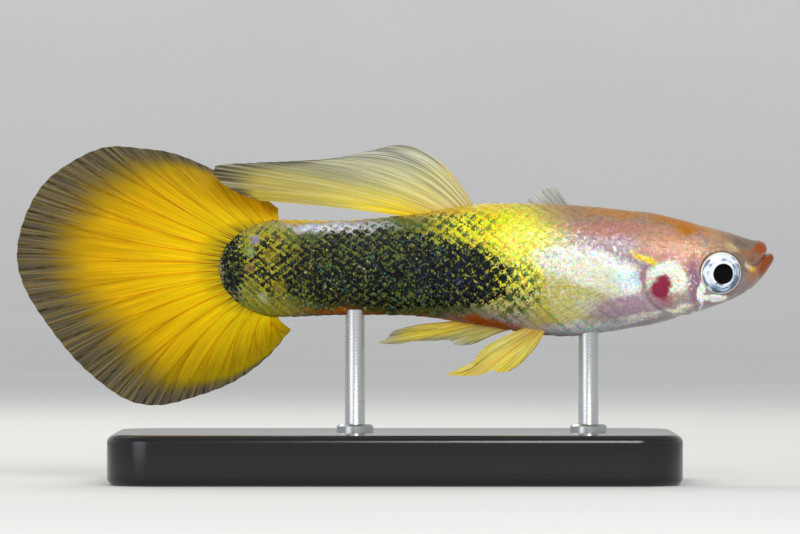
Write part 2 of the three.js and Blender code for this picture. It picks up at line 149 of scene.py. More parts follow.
def base_slab():
    bends = np.linspace(0, math.pi / 2, 9)
    lower = [(BASE_EDGE * (1 - math.sin(a)), BASE_EDGE * (1 - math.cos(a))) for a in bends]
    upper = [(inset, BASE_HEIGHT - height) for inset, height in reversed(lower)]
    rings = []
    for inset, height in lower + upper:
        plan = rounded_plan(BASE_LENGTH - 2 * inset, BASE_WIDTH - 2 * inset, BASE_CORNER - inset)
        rings.append([(x, y, height) for x, y in plan])
    points = [point for ring in rings for point in ring]
    faces = tube_faces(len(rings), len(rings[0]))
    return mesh_piece("stand_slab", points, faces, polished_acrylic(), sharp_degrees=60)


slab = base_slab()
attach(slab, "root")
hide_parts("stand_base")

# The two rods: ground stainless wire, pressed into the base, where each has a small collar
# of the same steel round its foot, and ending inside the fish's belly.
ROD_RADIUS = 0.6
ROD_PLACES = {"front": 11.6, "rear": -2.4}
COLLAR_RADIUS = 1.1
COLLAR_HEIGHT = 0.45
GRIND_SPACING = 0.1
AXIS_HEIGHT = 13.0


def ground_stainless():
    """Stainless steel, centreless ground: fine rings round the rod spread its shine."""
    material, output = new_material("ground_stainless_steel")
    place = add_node(material, "TexCoord").outputs["Object"]
    inputs = {"Vector": place, "Scale": 1 / (GRIND_SPACING * MM) / 6.28, "Distortion": 6.0}
    rings = add_node(material, "TexWave", inputs, bands_direction="Z").outputs["Fac"]
    bump = add_node(material, "Bump", {"Height": rings, "Strength": 0.02, "Distance": 0.005 * MM})
    gloss = add_node(material, "MapRange", {"Value": rings, "To Min": 0.26, "To Max": 0.32})
    inputs = {
        "Base Color": linear("#c3c5c7"),
        "Metallic": 1.0,
        "Roughness": gloss.outputs["Result"],
        "Normal": bump.outputs["Normal"],
    }
    plug_in(material, add_node(material, "BsdfPrincipled", inputs), output)
    return material


STEEL = ground_stainless()


def rod(name, x, top):
    sides = 40
    foot = BASE_HEIGHT - 0.4
    profile = [
        (0.0, foot),
        (COLLAR_RADIUS, foot),
        (COLLAR_RADIUS, BASE_HEIGHT + COLLAR_HEIGHT * 0.75),
        (COLLAR_RADIUS - 0.12, BASE_HEIGHT + COLLAR_HEIGHT),
        (ROD_RADIUS + 0.02, BASE_HEIGHT + COLLAR_HEIGHT),
        (ROD_RADIUS, BASE_HEIGHT + COLLAR_HEIGHT + 0.05),
        (ROD_RADIUS, top),
        (0.0, top),
    ]
    points = []
    for radius, height in profile:
        for side in range(sides):
            angle = 2 * math.pi * side / sides
            grown = max(radius, 0.001)
            points.append((x + grown * math.cos(angle), grown * math.sin(angle), height))
    faces = tube_faces(len(profile), sides)
    return mesh_piece(f"stand_pin_{name}", points, faces, STEEL, sharp_degrees=40)


# The fish's body in the flesh: one smooth form from the tail lobe to the lips, drawn
# through the same stations as the solids, in millimetres over its long axis.
TAIL_ROUND_FROM = -7.0
TAIL_ROUND_LENGTH = 3.62
SNOUT_FROM = 20.3
COAT_DEPTH = 0.06
# x, back, belly, half width, height of the widest point, squareness above and below it
STATIONS = np.array(
    [
        (-10.6, 2.62, -3.05, 0.3, -0.2, 2.0, 2.0),
        (-7.0, 2.76, -3.16, 0.72, -0.2, 2.0, 2.0),
        (-3.3, 2.71, -3.04, 1.02, -0.1, 2.0, 2.0),
        (1.2, 3.1, -3.1, 1.36, 0.0, 2.0, 2.0),
        (4.9, 3.68, -3.62, 1.8, 0.1, 2.0, 1.95),
        (8.4, 3.72, -4.16, 2.14, 0.0, 2.1, 1.9),
        (10.4, 3.66, -4.32, 2.28, -0.1, 2.1, 1.95),
        (13.0, 3.42, -4.02, 2.42, -0.1, 2.15, 2.1),
        (15.0, 3.19, -3.68, 2.46, -0.1, 2.2, 2.2),
        (17.1, 2.74, -3.12, 2.38, -0.1, 2.35, 2.4),
        (18.3, 2.4, -2.76, 2.25, -0.1, 2.5, 2.6),
        (19.5, 2.1, -2.34, 2.04, 0.0, 2.6, 2.7),
        (20.7, 1.74, -1.86, 1.68, 0.2, 2.6, 2.4),
        (21.3, 1.53, -1.5, 1.44, 0.3, 2.5, 2.2),
    ]
)


def along_body(column, x):
    """One size of the body at places x, on a smooth curve through the stations."""
    xs = STATIONS[:, 0]
    ys = STATIONS[:, column]
    ahead = np.minimum(np.arange(len(xs)) + 1, len(xs) - 1)
    behind = np.maximum(np.arange(len(xs)) - 1, 0)
    slopes = (ys[ahead] - ys[behind]) / (xs[ahead] - xs[behind])
    i = np.clip(np.searchsorted(xs, x) - 1, 0, len(xs) - 2)
    span = xs[i + 1] - xs[i]
    t = np.clip((x - xs[i]) / span, 0, 1)
    rise = slopes[i] * span
    fall = slopes[i + 1] * span
    step = ys[i + 1] - ys[i]
    return ys[i] + t * (rise + t * (3 * step - 2 * rise - fall + t * (rise + fall - 2 * step)))


def body_ring(x, angle):
    """Points of the body's sections: x and angle are arrays that broadcast together."""
    x, angle = np.broadcast_arrays(x, angle)
    back, belly, half, wide, crown, keel = (along_body(column, x) for column in range(1, 7))
    behind = np.maximum(0, TAIL_ROUND_FROM - x) / TAIL_ROUND_LENGTH
    close = np.sqrt(np.maximum(0.0004, 1 - behind**2))
    c, n = np.cos(angle), np.sin(angle)
    power = 2 / np.where(n >= 0, crown, keel)
    reach = np.where(n >= 0, back - wide, wide - belly) * close
    y = half * np.sign(c) * np.abs(c) ** power
    z = wide + reach * np.sign(n) * np.abs(n) ** power
    return np.stack([x, y, z], axis=-1)


def half_width(x, z):
    """How far the body's side is from the middle at x and height z."""
    _, back, belly, half, wide, crown, keel = (along_body(c, np.asarray(x)) for c in range(7))
    above = z >= wide
    share = np.abs(z - wide) / np.where(above, back - wide, wide - belly)
    power = np.where(above, crown, keel)
    return half * (1 - np.minimum(1, share) ** power) ** (1 / power)


# The lips' cross-section as guides from the snout into the mouth: x and z in the middle
# of the upper lip, of the lower lip, then x, y and z at the corner of the mouth.
LIP_GUIDES = [
    ((21.35, 1.52), (21.35, -1.42), (21.05, 1.46, -0.02)),
    ((21.85, 1.46), (22.06, -0.7), (21.3, 1.28, -0.04)),
    ((22.18, 1.3), (22.48, -0.1), (21.46, 1.16, -0.04)),
    ((22.3, 1.04), (22.72, 0.34), (21.54, 1.08, -0.02)),
    ((22.27, 0.8), (22.64, 0.64), (21.54, 1.0, 0.0)),
    ((22.12, 0.68), (22.4, 0.7), (21.46, 0.9, 0.02)),
    ((21.7, 0.6), (21.9, 0.5), (21.3, 0.7, 0.04)),
]
RINGS_PER_GUIDE = 7
SIDES_OF_SKIN = 208


def even_angles(x, count):
    """For each x, angles that part its section into even lengths, from the belly round."""
    fine = np.linspace(-math.pi / 2, 1.5 * math.pi, 721)
    ring = body_ring(x[:, None], fine[None, :])
    steps = np.linalg.norm(np.diff(ring, axis=1), axis=-1)
    length = np.concatenate([np.zeros((len(x), 1)), np.cumsum(steps, axis=1)], axis=1)
    share = length / length[:, -1:]
    wanted = np.arange(count) / count
    return np.stack([np.interp(wanted, row, fine) for row in share])


def snout_rings(last_x, before_x, angles):
    """Rings from the end of the plain body over the lips and into the mouth."""
    s, c = np.sin(angles), np.cos(angles)
    guides = [body_ring(np.full_like(angles, before_x), angles)]
    guides.append(body_ring(np.full_like(angles, last_x), angles))
    for upper, lower, corner in LIP_GUIDES:
        above = s >= 0
        middle = np.where(above[:, None], upper, lower)
        x = corner[0] + (middle[:, 0] - corner[0]) * np.abs(s) ** np.where(above, 0.7, 0.9)
        z = corner[2] + (middle[:, 1] - corner[2]) * np.abs(s) ** np.where(above, 1.05, 0.85)
        guides.append(np.stack([x, corner[1] * np.sign(c) * np.abs(c) ** 0.9, z], axis=-1))
    guides.append(2 * guides[-1] - guides[-2])
    rings = []
    for a, b, d, e in zip(guides, guides[1:], guides[2:], guides[3:]):
        for step in range(1, RINGS_PER_GUIDE + 1):
            t = step / RINGS_PER_GUIDE
            curve = (
                2 * b
                + t * (d - a)
                + t * t * (2 * a - 5 * b + 4 * d - e)
                + t**3 * (3 * b - a - 3 * d + e)
            )
            rings.append(curve / 2)
    return np.array(rings)


def smooth_step(low, high, value):
    t = np.clip((value - low) / (high - low), 0, 1)
    return t * t * (3 - 2 * t)


# Where the eye and the gill cover sit on the head, and how high their forms stand
EYE_X, EYE_Z, EYE_RADIUS = 19.44, -0.48, 1.28
GILL_X, GILL_Z = 17.3, -1.22
GILL_LONG, GILL_TALL = 2.42, 1.8
GILL_FRONT = 17.75
NOSTRILS = [(20.95, 1.2, 0.13), (20.5, 1.42, 0.1)]


def gill_depth(x, z):
    """Millimetres inside the gill cover's rear edge; negative outside it."""
    across = np.sqrt(((x - GILL_X) / GILL_LONG) ** 2 + ((z - GILL_Z) / GILL_TALL) ** 2)
    return (1 - across) * GILL_TALL


def head_relief(x, z):
    """How far the head's skin stands out of the plain form, in millimetres."""
    from_eye = np.hypot(x - EYE_X, z - EYE_Z)
    rim = 0.09 * np.exp(-(((from_eye - 1.42) / 0.12) ** 2))
    socket = -0.6 * (1 - smooth_step(1.1, 1.25, from_eye))
    depth = gill_depth(x, z)
    behind_cheek = 1 - smooth_step(GILL_FRONT - 0.25, GILL_FRONT + 0.1, x)
    cover = 0.1 * smooth_step(-0.02, 0.16, depth) * behind_cheek
    groove = -0.08 * np.exp(-(((depth + 0.09) / 0.09) ** 2)) * behind_cheek
    cheek_x = GILL_FRONT + 0.12 + 0.1 * (z + 1.2) ** 2 * 0.3
    cheek = -0.05 * np.exp(-(((x - cheek_x) / 0.09) ** 2)) * (1 - smooth_step(0.3, 0.9, z))
    pits = sum(
        -0.16 * (1 - smooth_step(0.5 * r, 1.2 * r, np.hypot(x - px, z - pz))) for px, pz, r in NOSTRILS
    )
    jaw_x = 21.05 - 0.22 * (z + 1)
    jaw = -0.06 * np.exp(-(((x - jaw_x) / 0.08) ** 2)) * (1 - smooth_step(-0.3, 0.0, z))
    on_gills = smooth_step(14.2, 14.8, x) * (1 - smooth_step(0.1, 0.6, z)) * (cover + groove)
    foot = 0.1 * (1 - smooth_step(0.1, 0.95, np.hypot((x - 13.5) / 1.1, z + 0.9)))
    return rim + socket + on_gills + cheek + pits + jaw + foot


def outward_normals(rings):
    """Normals of a tube of points; each ring closes on itself."""
    along = np.gradient(rings, axis=0)
    across = np.roll(rings, -1, axis=1) - np.roll(rings, 1, axis=1)
    normals = np.cross(along, across)
    normals /= np.maximum(np.linalg.norm(normals, axis=-1, keepdims=True), 1e-9)
    return normals * -np.sign(np.sum(normals[20, 0] * np.array([0, 0, 1])))


def coat_inset(x):
    """How far the skin lies inside the plain form, to leave room for its scales."""
    return COAT_DEPTH * (1 - smooth_step(14.2, 15.5, x))


def skin_stations():
    lobe = TAIL_ROUND_FROM - TAIL_ROUND_LENGTH * np.sin(np.radians(np.linspace(84, 0, 40)))
    trunk = np.arange(TAIL_ROUND_FROM + 0.11, 14.0, 0.11)
    head = np.arange(14.0, SNOUT_FROM, 0.065)
    return np.concatenate([lobe, trunk, head])


skin_x = skin_stations()
skin_angles = even_angles(skin_x, SIDES_OF_SKIN)
plain_form = body_ring(skin_x[:, None], skin_angles)
snout = snout_rings(skin_x[-1], skin_x[-1] - 0.5, skin_angles[-1])
skin_form = np.concatenate([plain_form, snout])
skin_out = outward_normals(skin_form)
relief = head_relief(skin_form[..., 0], skin_form[..., 2]) - coat_inset(skin_form[..., 0])
skin_points = skin_form + skin_out * relief[..., None]
skin_points[..., 2] += AXIS_HEIGHT

# Its colours, as a model maker sprays them: soft clouds, each with a place, a size and a
# tilt on the side of the fish, in millimetres and degrees, and how soft its edge is.
CLOUDS = [
    # name, colour, x, z, half length, half height, tilt, softness, strength
    ("belly", "#a3959a", 12.0, -4.0, 13.0, 3.6, 4, 0.8, 1.0),
    ("back", "#b07f4c", 14.0, 4.2, 12.0, 1.9, -6, 0.6, 1.0),
    ("stalk", "#5c5a16", -2.0, 0.0, 9.5, 3.6, 0, 0.3, 1.0),
    ("lilac_band", "#ad939c", 13.0, 1.3, 4.6, 1.0, -2, 0.6, 0.9),
    ("pink_stripe", "#bd7a6e", 12.4, 2.15, 3.6, 0.5, -3, 0.7, 0.9),
    ("salmon_cheek", "#cc916a", 16.6, 1.0, 2.6, 1.1, -14, 0.6, 0.95),
    ("rose_cheek", "#cf8f8c", 17.0, 0.35, 2.0, 0.4, -10, 0.7, 0.6),
    ("nape", "#b86c00", 17.3, 2.55, 2.0, 0.7, -15, 0.6, 1.1),
    ("nape_rear", "#c07a26", 13.2, 3.1, 1.8, 0.3, -4, 0.8, 0.6),
    ("nape_front", "#b28a5c", 19.2, 2.0, 1.4, 0.5, -17, 0.8, 0.7),
    ("brow", "#b3865a", 19.4, 1.2, 1.0, 0.6, -15, 0.8, 0.7),
    ("snout", "#7c6858", 20.9, 0.7, 1.4, 1.7, 0, 0.5, 0.9),
    ("chin", "#7f6e6c", 20.4, -1.9, 1.6, 1.2, 20, 0.6, 0.8),
    ("yellow_flank", "#efdf22", 5.9, 0.9, 4.6, 3.6, -6, 0.5, 1.0),
    ("yellow_bright", "#fbf350", 8.0, 0.7, 1.7, 2.2, 8, 0.6, 1.0),
    ("yellow_belly", "#d4c436", 10.2, -2.3, 2.8, 1.7, 8, 0.6, 0.85),
    ("pale_green_spot", "#dcebc6", 11.6, -2.5, 1.1, 0.6, 0, 0.7, 0.8),
    # The white flank is partly the skin's own white and partly a painted specular sparkle
    ("white_flank_and_sparkle", "#ffffff", 11.3, -0.1, 3.3, 1.1, -10, 0.35, 1.0),
    ("white_flank_low", "#fbfdf2", 12.8, -1.0, 2.2, 0.75, -14, 0.4, 0.95),
    ("blue_white", "#c9ecfa", 13.8, -0.8, 1.1, 0.5, -20, 0.6, 0.9),
    ("rose_under", "#b08ea0", 13.2, -2.4, 2.6, 0.8, 8, 0.7, 0.8),
    ("silver_belly", "#d6dad6", 11.6, -3.75, 3.2, 0.5, 4, 0.6, 0.9),
    ("stalk_top", "#d9d0e4", -3.4, 2.25, 3.8, 0.42, 0, 0.7, 0.9),
    ("stalk_end", "#a89c22", -8.0, 0.3, 2.2, 3.2, 0, 0.6, 1.0),
    ("top_edge", "#e0b022", -2.0, 3.05, 8.6, 0.36, 3, 0.6, 0.95),
    ("lower_edge", "#3e2812", -0.4, -2.6, 6.6, 0.7, -2, 0.6, 0.95),
    ("orange_edge", "#b4560c", 1.0, -3.32, 6.5, 0.3, -6, 0.6, 0.95),
    ("belly_edge", "#a84a06", 6.2, -3.7, 3.0, 0.46, -15, 0.5, 1.0),
    ("tail_low", "#8c7f1a", -8.0, -2.7, 2.8, 0.9, -6, 0.6, 1.0),
    ("under_black", "#56642a", 1.0, -0.3, 5.6, 2.7, -4, 0.6, 0.85),
    ("gill_silver", "#e8fae4", 16.3, -0.85, 1.5, 1.0, -12, 0.4, 0.98),
    ("gill_pearl", "#fffbe2", 16.9, -0.7, 0.7, 0.8, 10, 0.4, 0.95),
    ("snout_pale", "#d8c48c", 20.2, 1.0, 0.5, 0.24, -20, 0.8, 0.6),
    ("snout_rust", "#a4682c", 21.1, 0.75, 0.6, 0.3, -20, 0.8, 0.55),
    ("mouth_gold", "#e0b030", 21.45, -0.25, 0.22, 0.26, 30, 0.8, 0.9),
    # A painted highlight beside the corner of the mouth
    ("mouth_painted_highlight", "#f0dcb8", 21.25, 0.02, 0.18, 0.24, 20, 0.9, 0.6),
    ("mouth_brown", "#7c4416", 21.5, 0.25, 0.3, 0.2, 0, 0.8, 0.7),
    ("gill_edge", "#93506a", 14.9, -0.7, 0.22, 1.0, 0, 0.6, 0.75),
    ("cheek", "#8e5878", 17.8, -1.1, 0.34, 1.6, 0, 0.6, 0.8),
    ("gill_red_low", "#a8506c", 16.1, -2.0, 0.7, 0.5, 0, 0.7, 0.7),
    ("low_silver_front", "#f4f2da", 16.8, -2.65, 1.1, 0.2, 12, 0.7, 0.85),
    ("low_silver_rear", "#e6e2d8", 14.7, -3.15, 1.3, 0.2, 12, 0.7, 0.8),
    ("yellow_flecks", "#f0d21e", 14.9, 0.42, 0.9, 0.3, -24, 0.6, 0.9),
    ("eye_crescent", "#ffffff", 18.28, -1.65, 0.24, 0.9, 10, 0.35, 1.0),
    ("eye_crescent_low", "#fffdf2", 19.1, -2.03, 0.8, 0.22, 10, 0.4, 1.0),
    ("upper_lip", "#9c4200", 21.95, 1.05, 0.5, 0.6, 0, 0.6, 0.92),
    ("lower_lip", "#864000", 22.35, 0.1, 0.55, 0.85, -30, 0.5, 1.0),
    ("lip_gap", "#8f8478", 22.3, 0.72, 0.3, 0.14, -20, 0.6, 0.8),
    ("jaw_side", "#a8662a", 21.5, -0.6, 0.36, 0.5, -30, 0.8, 0.6),
]
# The black pigment: the same kind of clouds, but they set how many pigment cells there are
BLACK_CLOUDS = [
    ("stalk", -1.0, 0.1, 7.3, 2.35, 0, 0.4, 0.86),
    ("band", -1.4, -0.8, 8.0, 1.4, 1, 0.6, 1.2),
    ("saddle", 3.2, -0.5, 4.1, 2.2, -8, 0.45, 1.2),
    ("fade", 6.9, -1.5, 2.0, 1.8, -20, 0.9, 0.48),
    ("top_specks", 2.2, 2.3, 4.0, 1.0, 3, 0.9, 0.44),
    ("underside", -0.5, -2.2, 6.6, 0.7, -3, 0.8, 0.8),
    ("tail_crescent", -9.8, -0.3, 0.95, 2.7, 0, 0.8, 1.3),
    ("tail_rows", -7.6, -0.1, 2.4, 2.7, 0, 0.8, 0.7),
]
# Where the black has a violet sheen
VIOLET = (3.4, -0.7, 3.8, 2.0, 0, 0.8, 1.0)
# The round scales of the tail base stand clear of the pigment
TAIL_SPOTS = [
    ("lilac", "#9c8ea2", -8.4, 1.5, 0.32, 0.34, 0, 0.6, 0.8),
    ("turquoise", "#4d8474", -8.7, 0.78, 0.36, 0.34, 0, 0.6, 0.7),
    ("olive", "#a8a23c", -8.7, 0.78, 0.2, 0.2, 0, 0.6, 0.9),
    ("brown", "#7c5c3c", -8.7, -0.18, 0.32, 0.28, 0, 0.6, 0.8),
    ("low_olive", "#7d7a26", -8.5, -1.2, 0.4, 0.36, 0, 0.6, 0.8),
    ("pale_olive", "#a9aa78", -7.9, -1.95, 0.28, 0.44, 40, 0.6, 0.8),
    ("gold", "#a08a1c", -7.5, 0.5, 0.5, 0.46, 0, 0.7, 0.6),
    ("gold_low", "#94801a", -7.0, -1.3, 0.5, 0.4, 0, 0.7, 0.6),
]
# Flecks of one colour each, scattered where their cloud lies: the channel of the noise that
# places them, then the cloud
FLECKS = [
    ("gill_brown", "Red", "#7c6a56", 16.5, -1.2, 1.5, 1.0, -10, 0.5, 0.5),
    ("gill_white", "Green", "#ffffff", 16.6, -0.8, 1.5, 1.1, -10, 0.5, 0.9),
    ("gill_gold", "Blue", "#e0c050", 16.2, -1.3, 1.7, 1.2, -10, 0.6, 0.6),
    ("flank_green", "Red", "#7f9a3a", 8.6, -0.2, 3.0, 3.0, 0, 0.8, 0.75),
    ("flank_gold", "Blue", "#ffd000", 9.4, 0.6, 3.2, 2.4, 0, 0.8, 0.6),
    ("flank_white", "Green", "#ffffff", 10.4, -0.2, 4.2, 2.4, 0, 0.8, 0.75),
    ("back_gold", "Blue", "#b87810", 13.0, 2.9, 5.0, 0.8, -5, 0.8, 0.45),
    ("back_olive", "Red", "#85713f", 13.5, 2.7, 5.5, 0.9, -8, 0.8, 0.5),
    ("cheek_pearl", "Green", "#f6e2da", 18.0, 0.7, 1.8, 1.0, -10, 0.8, 0.4),
    ("cheek_gold", "Blue", "#d69a4c", 18.2, 1.2, 2.0, 0.8, -14, 0.8, 0.45),
    ("shoulder_pearl", "Green", "#e8d4e4", 12.6, 1.3, 3.0, 1.0, -8, 0.8, 0.3),
]
# Clouds sprayed over the flecks
OVER_FLECKS = [
    ("gill_red", "#8c1c3e", 15.85, -1.35, 0.62, 0.72, 0, 0.3, 1.0),
]
# The pigment cells' tones: black where they crowd, olive where they lie far apart, and green,
# gold, turquoise and brown for the shining ones between them
CROWDED_CELLS = [
    (0.0, "#020103"), (0.5, "#05040c"), (0.7, "#0c1216"), (0.84, "#1a3022"), (0.93, "#414d18"),
    (1.0, "#77822a"),
]
LOOSE_CELLS = [(0.0, "#4e5818"), (0.4, "#75812a"), (0.6, "#5d8a55"), (0.8, "#2f4434"), (1.0, "#8d7c1e")]
SHINY_CELLS = [
    (0.0, "#6c4a20"), (0.25, "#86862a"), (0.45, "#b4c236"), (0.6, "#3f8f5a"), (0.72, "#3ba896"),
    (0.8, "#3c56a8"), (0.9, "#e0cf48"), (1.0, "#e8f4c8"),
]
# Sizes of the grains in millimetres: black and shining cells, crystals, flecks, the skin's
# grain, its mottling, the black's ragged border, and how far the clouds' borders wander
SPECK, SHINY_SPECK, GLINT, FLECK = 0.105, 0.16, 0.13, 0.2
GRAIN, MOTTLE, RAGGED, WANDER = 0.08, 0.3, 0.5, 1.1
# How far a cloud's gradient reaches past its oval, and a size across the whole fish
CLOUD_REACH = 1.5
ALL_THROUGH = 1e6
# A colour that shades the one below it, and the range that most of a noise lies in
MULTIPLIED = {"data_type": "RGBA", "blend_type": "MULTIPLY"}
MIDDLE_OF_NOISE = {"From Min": 0.3, "From Max": 0.7}


def cloud_mask(material, place, cloud):
    """1 in the middle of a soft oval on the fish's side, 0 outside it. A gradient and a
    free-running range keep the shader small, for Cycles runs out of room on this skin."""
    x, z, long, tall, tilt, soft, strength = cloud
    oval = {
        "Vector": place,
        "Location": (x * MM, 0, (z + AXIS_HEIGHT) * MM),
        "Rotation": (0, -math.radians(tilt), 0),
        "Scale": (CLOUD_REACH * long * MM, ALL_THROUGH, CLOUD_REACH * tall * MM),
    }
    sized = add_node(material, "Mapping", oval, vector_type="TEXTURE").outputs[0]
    inward = add_node(material, "TexGradient", {"Vector": sized}, gradient_type="SPHERICAL").outputs["Fac"]
    border = {
        "Value": inward,
        "From Min": 1 - (1 + soft * 0.5) / CLOUD_REACH,
        "From Max": 1 - (1 - soft) / CLOUD_REACH,
        "To Max": strength,
    }
    rim = add_node(material, "MapRange", border, interpolation_type="SMOOTHSTEP", clamp=False)
    return rim.outputs["Result"]


def sprayed(material, colour, place, clouds):
    """The colour with named clouds sprayed over it."""
    for _, tone, *cloud in clouds:
        layers = {"Factor": cloud_mask(material, place, cloud), "A": colour, "B": linear(tone)}
        colour = add_node(material, "Mix", layers, data_type="RGBA").outputs["Result"]
    return colour


def sprayed_fish_skin():
    """Cast resin, airbrushed and varnished wet: pigment cells show as single grains, the
    silver parts have a mirror's base under them, and the varnish gives a live fish's shine."""
    material, output = new_material("varnished_fish_skin")
    place = add_node(material, "TexCoord").outputs["Object"]
    wander = add_node(material, "TexNoise", {"Vector": place, "Scale": 1 / (WANDER * MM), "Detail": 4.0})
    inputs = {0: wander.outputs["Color"], 1: (0.5, 0.5, 0.5)}
    shift = add_node(material, "VectorMath", inputs, operation="SUBTRACT").outputs[0]
    shift = add_node(material, "VectorMath", {0: shift, "Scale": WANDER * MM}, operation="SCALE").outputs[0]
    warped = add_node(material, "VectorMath", {0: place, 1: shift}, operation="ADD").outputs[0]
    colour = sprayed(material, linear("#9b8a86"), warped, CLOUDS)
    scatter = add_node(material, "TexNoise", {"Vector": place, "Scale": 1 / (FLECK * MM), "Detail": 2.0})
    channels = add_node(material, "SeparateColor", {"Color": scatter.outputs["Color"]}).outputs
    for _, channel, tone, *cloud in FLECKS:
        inputs = {"Value": channels[channel], "From Min": 0.54, "From Max": 0.64}
        fleck = add_node(material, "MapRange", inputs).outputs["Result"]
        inputs = {0: fleck, 1: cloud_mask(material, warped, cloud)}
        share = add_node(material, "Math", inputs, operation="MULTIPLY").outputs[0]
        layers = {"Factor": share, "A": colour, "B": linear(tone)}
        colour = add_node(material, "Mix", layers, data_type="RGBA").outputs["Result"]
    colour = sprayed(material, colour, warped, OVER_FLECKS)
    # Fine mottling everywhere, as living skin has
    mottle = add_node(material, "TexNoise", {"Vector": place, "Scale": 1 / (MOTTLE * MM), "Detail": 3.0})
    mottle = mottle.outputs["Fac"]
    shade = add_node(material, "MapRange", {"Value": mottle, "To Min": 0.78, "To Max": 1.22})
    layers = {"Factor": 1.0, "A": colour, "B": shade.outputs["Result"]}
    colour = add_node(material, "Mix", layers, **MULTIPLIED).outputs["Result"]
    # Silver crystals in the skin: each throws back its own tint, most of all where it is pale
    crystals = add_node(material, "TexNoise", {"Vector": place, "Scale": 1 / (GLINT * MM), "Detail": 2.0})
    inputs = {0: crystals.outputs["Color"], 1: (3.2, 2.8, 3.6), 2: (-0.52, -0.31, -0.7)}
    tint = add_node(material, "VectorMath", inputs, operation="MULTIPLY_ADD").outputs[0]
    tint = add_node(material, "VectorMath", {0: tint, 1: (0.2, 0.2, 0.2)}, operation="MAXIMUM").outputs[0]
    paleness = add_node(material, "RGBToBW", {"Color": colour}).outputs[0]
    inputs = {"Value": paleness, "From Min": 0.2, "From Max": 0.7, "To Min": 0.3, "To Max": 0.9}
    crystal_share = add_node(material, "MapRange", inputs).outputs["Result"]
    layers = {"Factor": 1.0, "A": colour, "B": tint}
    crystal_tone = add_node(material, "Mix", layers, **MULTIPLIED).outputs["Result"]
    layers = {"Factor": crystal_share, "A": colour, "B": crystal_tone}
    colour = add_node(material, "Mix", layers, data_type="RGBA").outputs["Result"]
    # Pigment cells: a grain is black where its own draw is under the black cloud's share
    black = None
    for _, *cloud in BLACK_CLOUDS:
        share = cloud_mask(material, warped, cloud)
        if black is None:
            black = share
        else:
            black = add_node(material, "Math", {0: black, 1: share}, operation="MAXIMUM").outputs[0]
    rough = add_node(material, "TexNoise", {"Vector": place, "Scale": 1 / (SPECK * MM), "Detail": 1.0})
    inputs = {0: rough.outputs["Color"], 1: (SPECK * MM,) * 3, 2: (-0.5 * SPECK * MM,) * 3}
    jolt = add_node(material, "VectorMath", inputs, operation="MULTIPLY_ADD").outputs[0]
    jolted = add_node(material, "VectorMath", {0: place, 1: jolt}, operation="ADD").outputs[0]
    inputs = {"Vector": jolted, "Scale": (1.2, 0.6, 0.85), "Rotation": (0, 0.2, 0)}
    stretched = add_node(material, "Mapping", inputs).outputs[0]
    cells = add_node(material, "TexVoronoi", {"Vector": stretched, "Scale": 1 / (SPECK * MM)}).outputs
    draw = add_node(material, "SeparateColor", {"Color": cells["Color"]}).outputs
    ragged = add_node(material, "TexNoise", {"Vector": place, "Scale": 1 / (RAGGED * MM), "Detail": 2.0})
    inputs = {"Value": ragged.outputs["Fac"], **MIDDLE_OF_NOISE, "To Min": -0.35, "To Max": 0.35}
    nudge = add_node(material, "MapRange", inputs).outputs["Result"]
    likely = add_node(material, "Math", {0: black, 1: nudge}, operation="ADD").outputs[0]
    # A scale holds more pigment in its rear half
    band = add_node(material, "Attribute", attribute_name="rear_half").outputs["Fac"]
    inputs = {0: band, 1: 1.25, 2: -0.47}
    band_share = add_node(material, "Math", inputs, operation="MULTIPLY_ADD").outputs[0]
    likely = add_node(material, "Math", {0: likely, 1: band_share}, operation="ADD").outputs[0]
    over = add_node(material, "Math", {0: likely, 1: draw["Red"]}, operation="SUBTRACT").outputs[0]
    inputs = {0: cells["Distance"], 1: -0.4, 2: over}
    over = add_node(material, "Math", inputs, operation="MULTIPLY_ADD").outputs[0]
    inputs = {"Value": over, "From Min": -0.22, "From Max": -0.02}
    pigment = add_node(material, "MapRange", inputs, interpolation_type="SMOOTHSTEP").outputs["Result"]
    has_black = add_node(material, "MapRange", {"Value": black, "From Min": 0.02, "From Max": 0.2})
    has_black = has_black.outputs["Result"]
    pigment = add_node(material, "Math", {0: pigment, 1: has_black}, operation="MULTIPLY").outputs[0]
    # Where the cells lie far apart they are olive, and black only where they crowd
    crowded = add_node(material, "MapRange", {"Value": black, "From Min": 0.25, "From Max": 0.6})
    dark = add_node(material, "ValToRGB", {"Fac": draw["Green"]}, ramp=CROWDED_CELLS)
    loose = add_node(material, "ValToRGB", {"Fac": draw["Blue"]}, ramp=LOOSE_CELLS)
    layers = {"Factor": crowded.outputs["Result"], "A": loose.outputs["Color"], "B": dark.outputs["Color"]}
    cell_tone = add_node(material, "Mix", layers, data_type="RGBA").outputs["Result"]
    layers = {"Factor": pigment, "A": colour, "B": cell_tone}
    colour = add_node(material, "Mix", layers, data_type="RGBA").outputs["Result"]
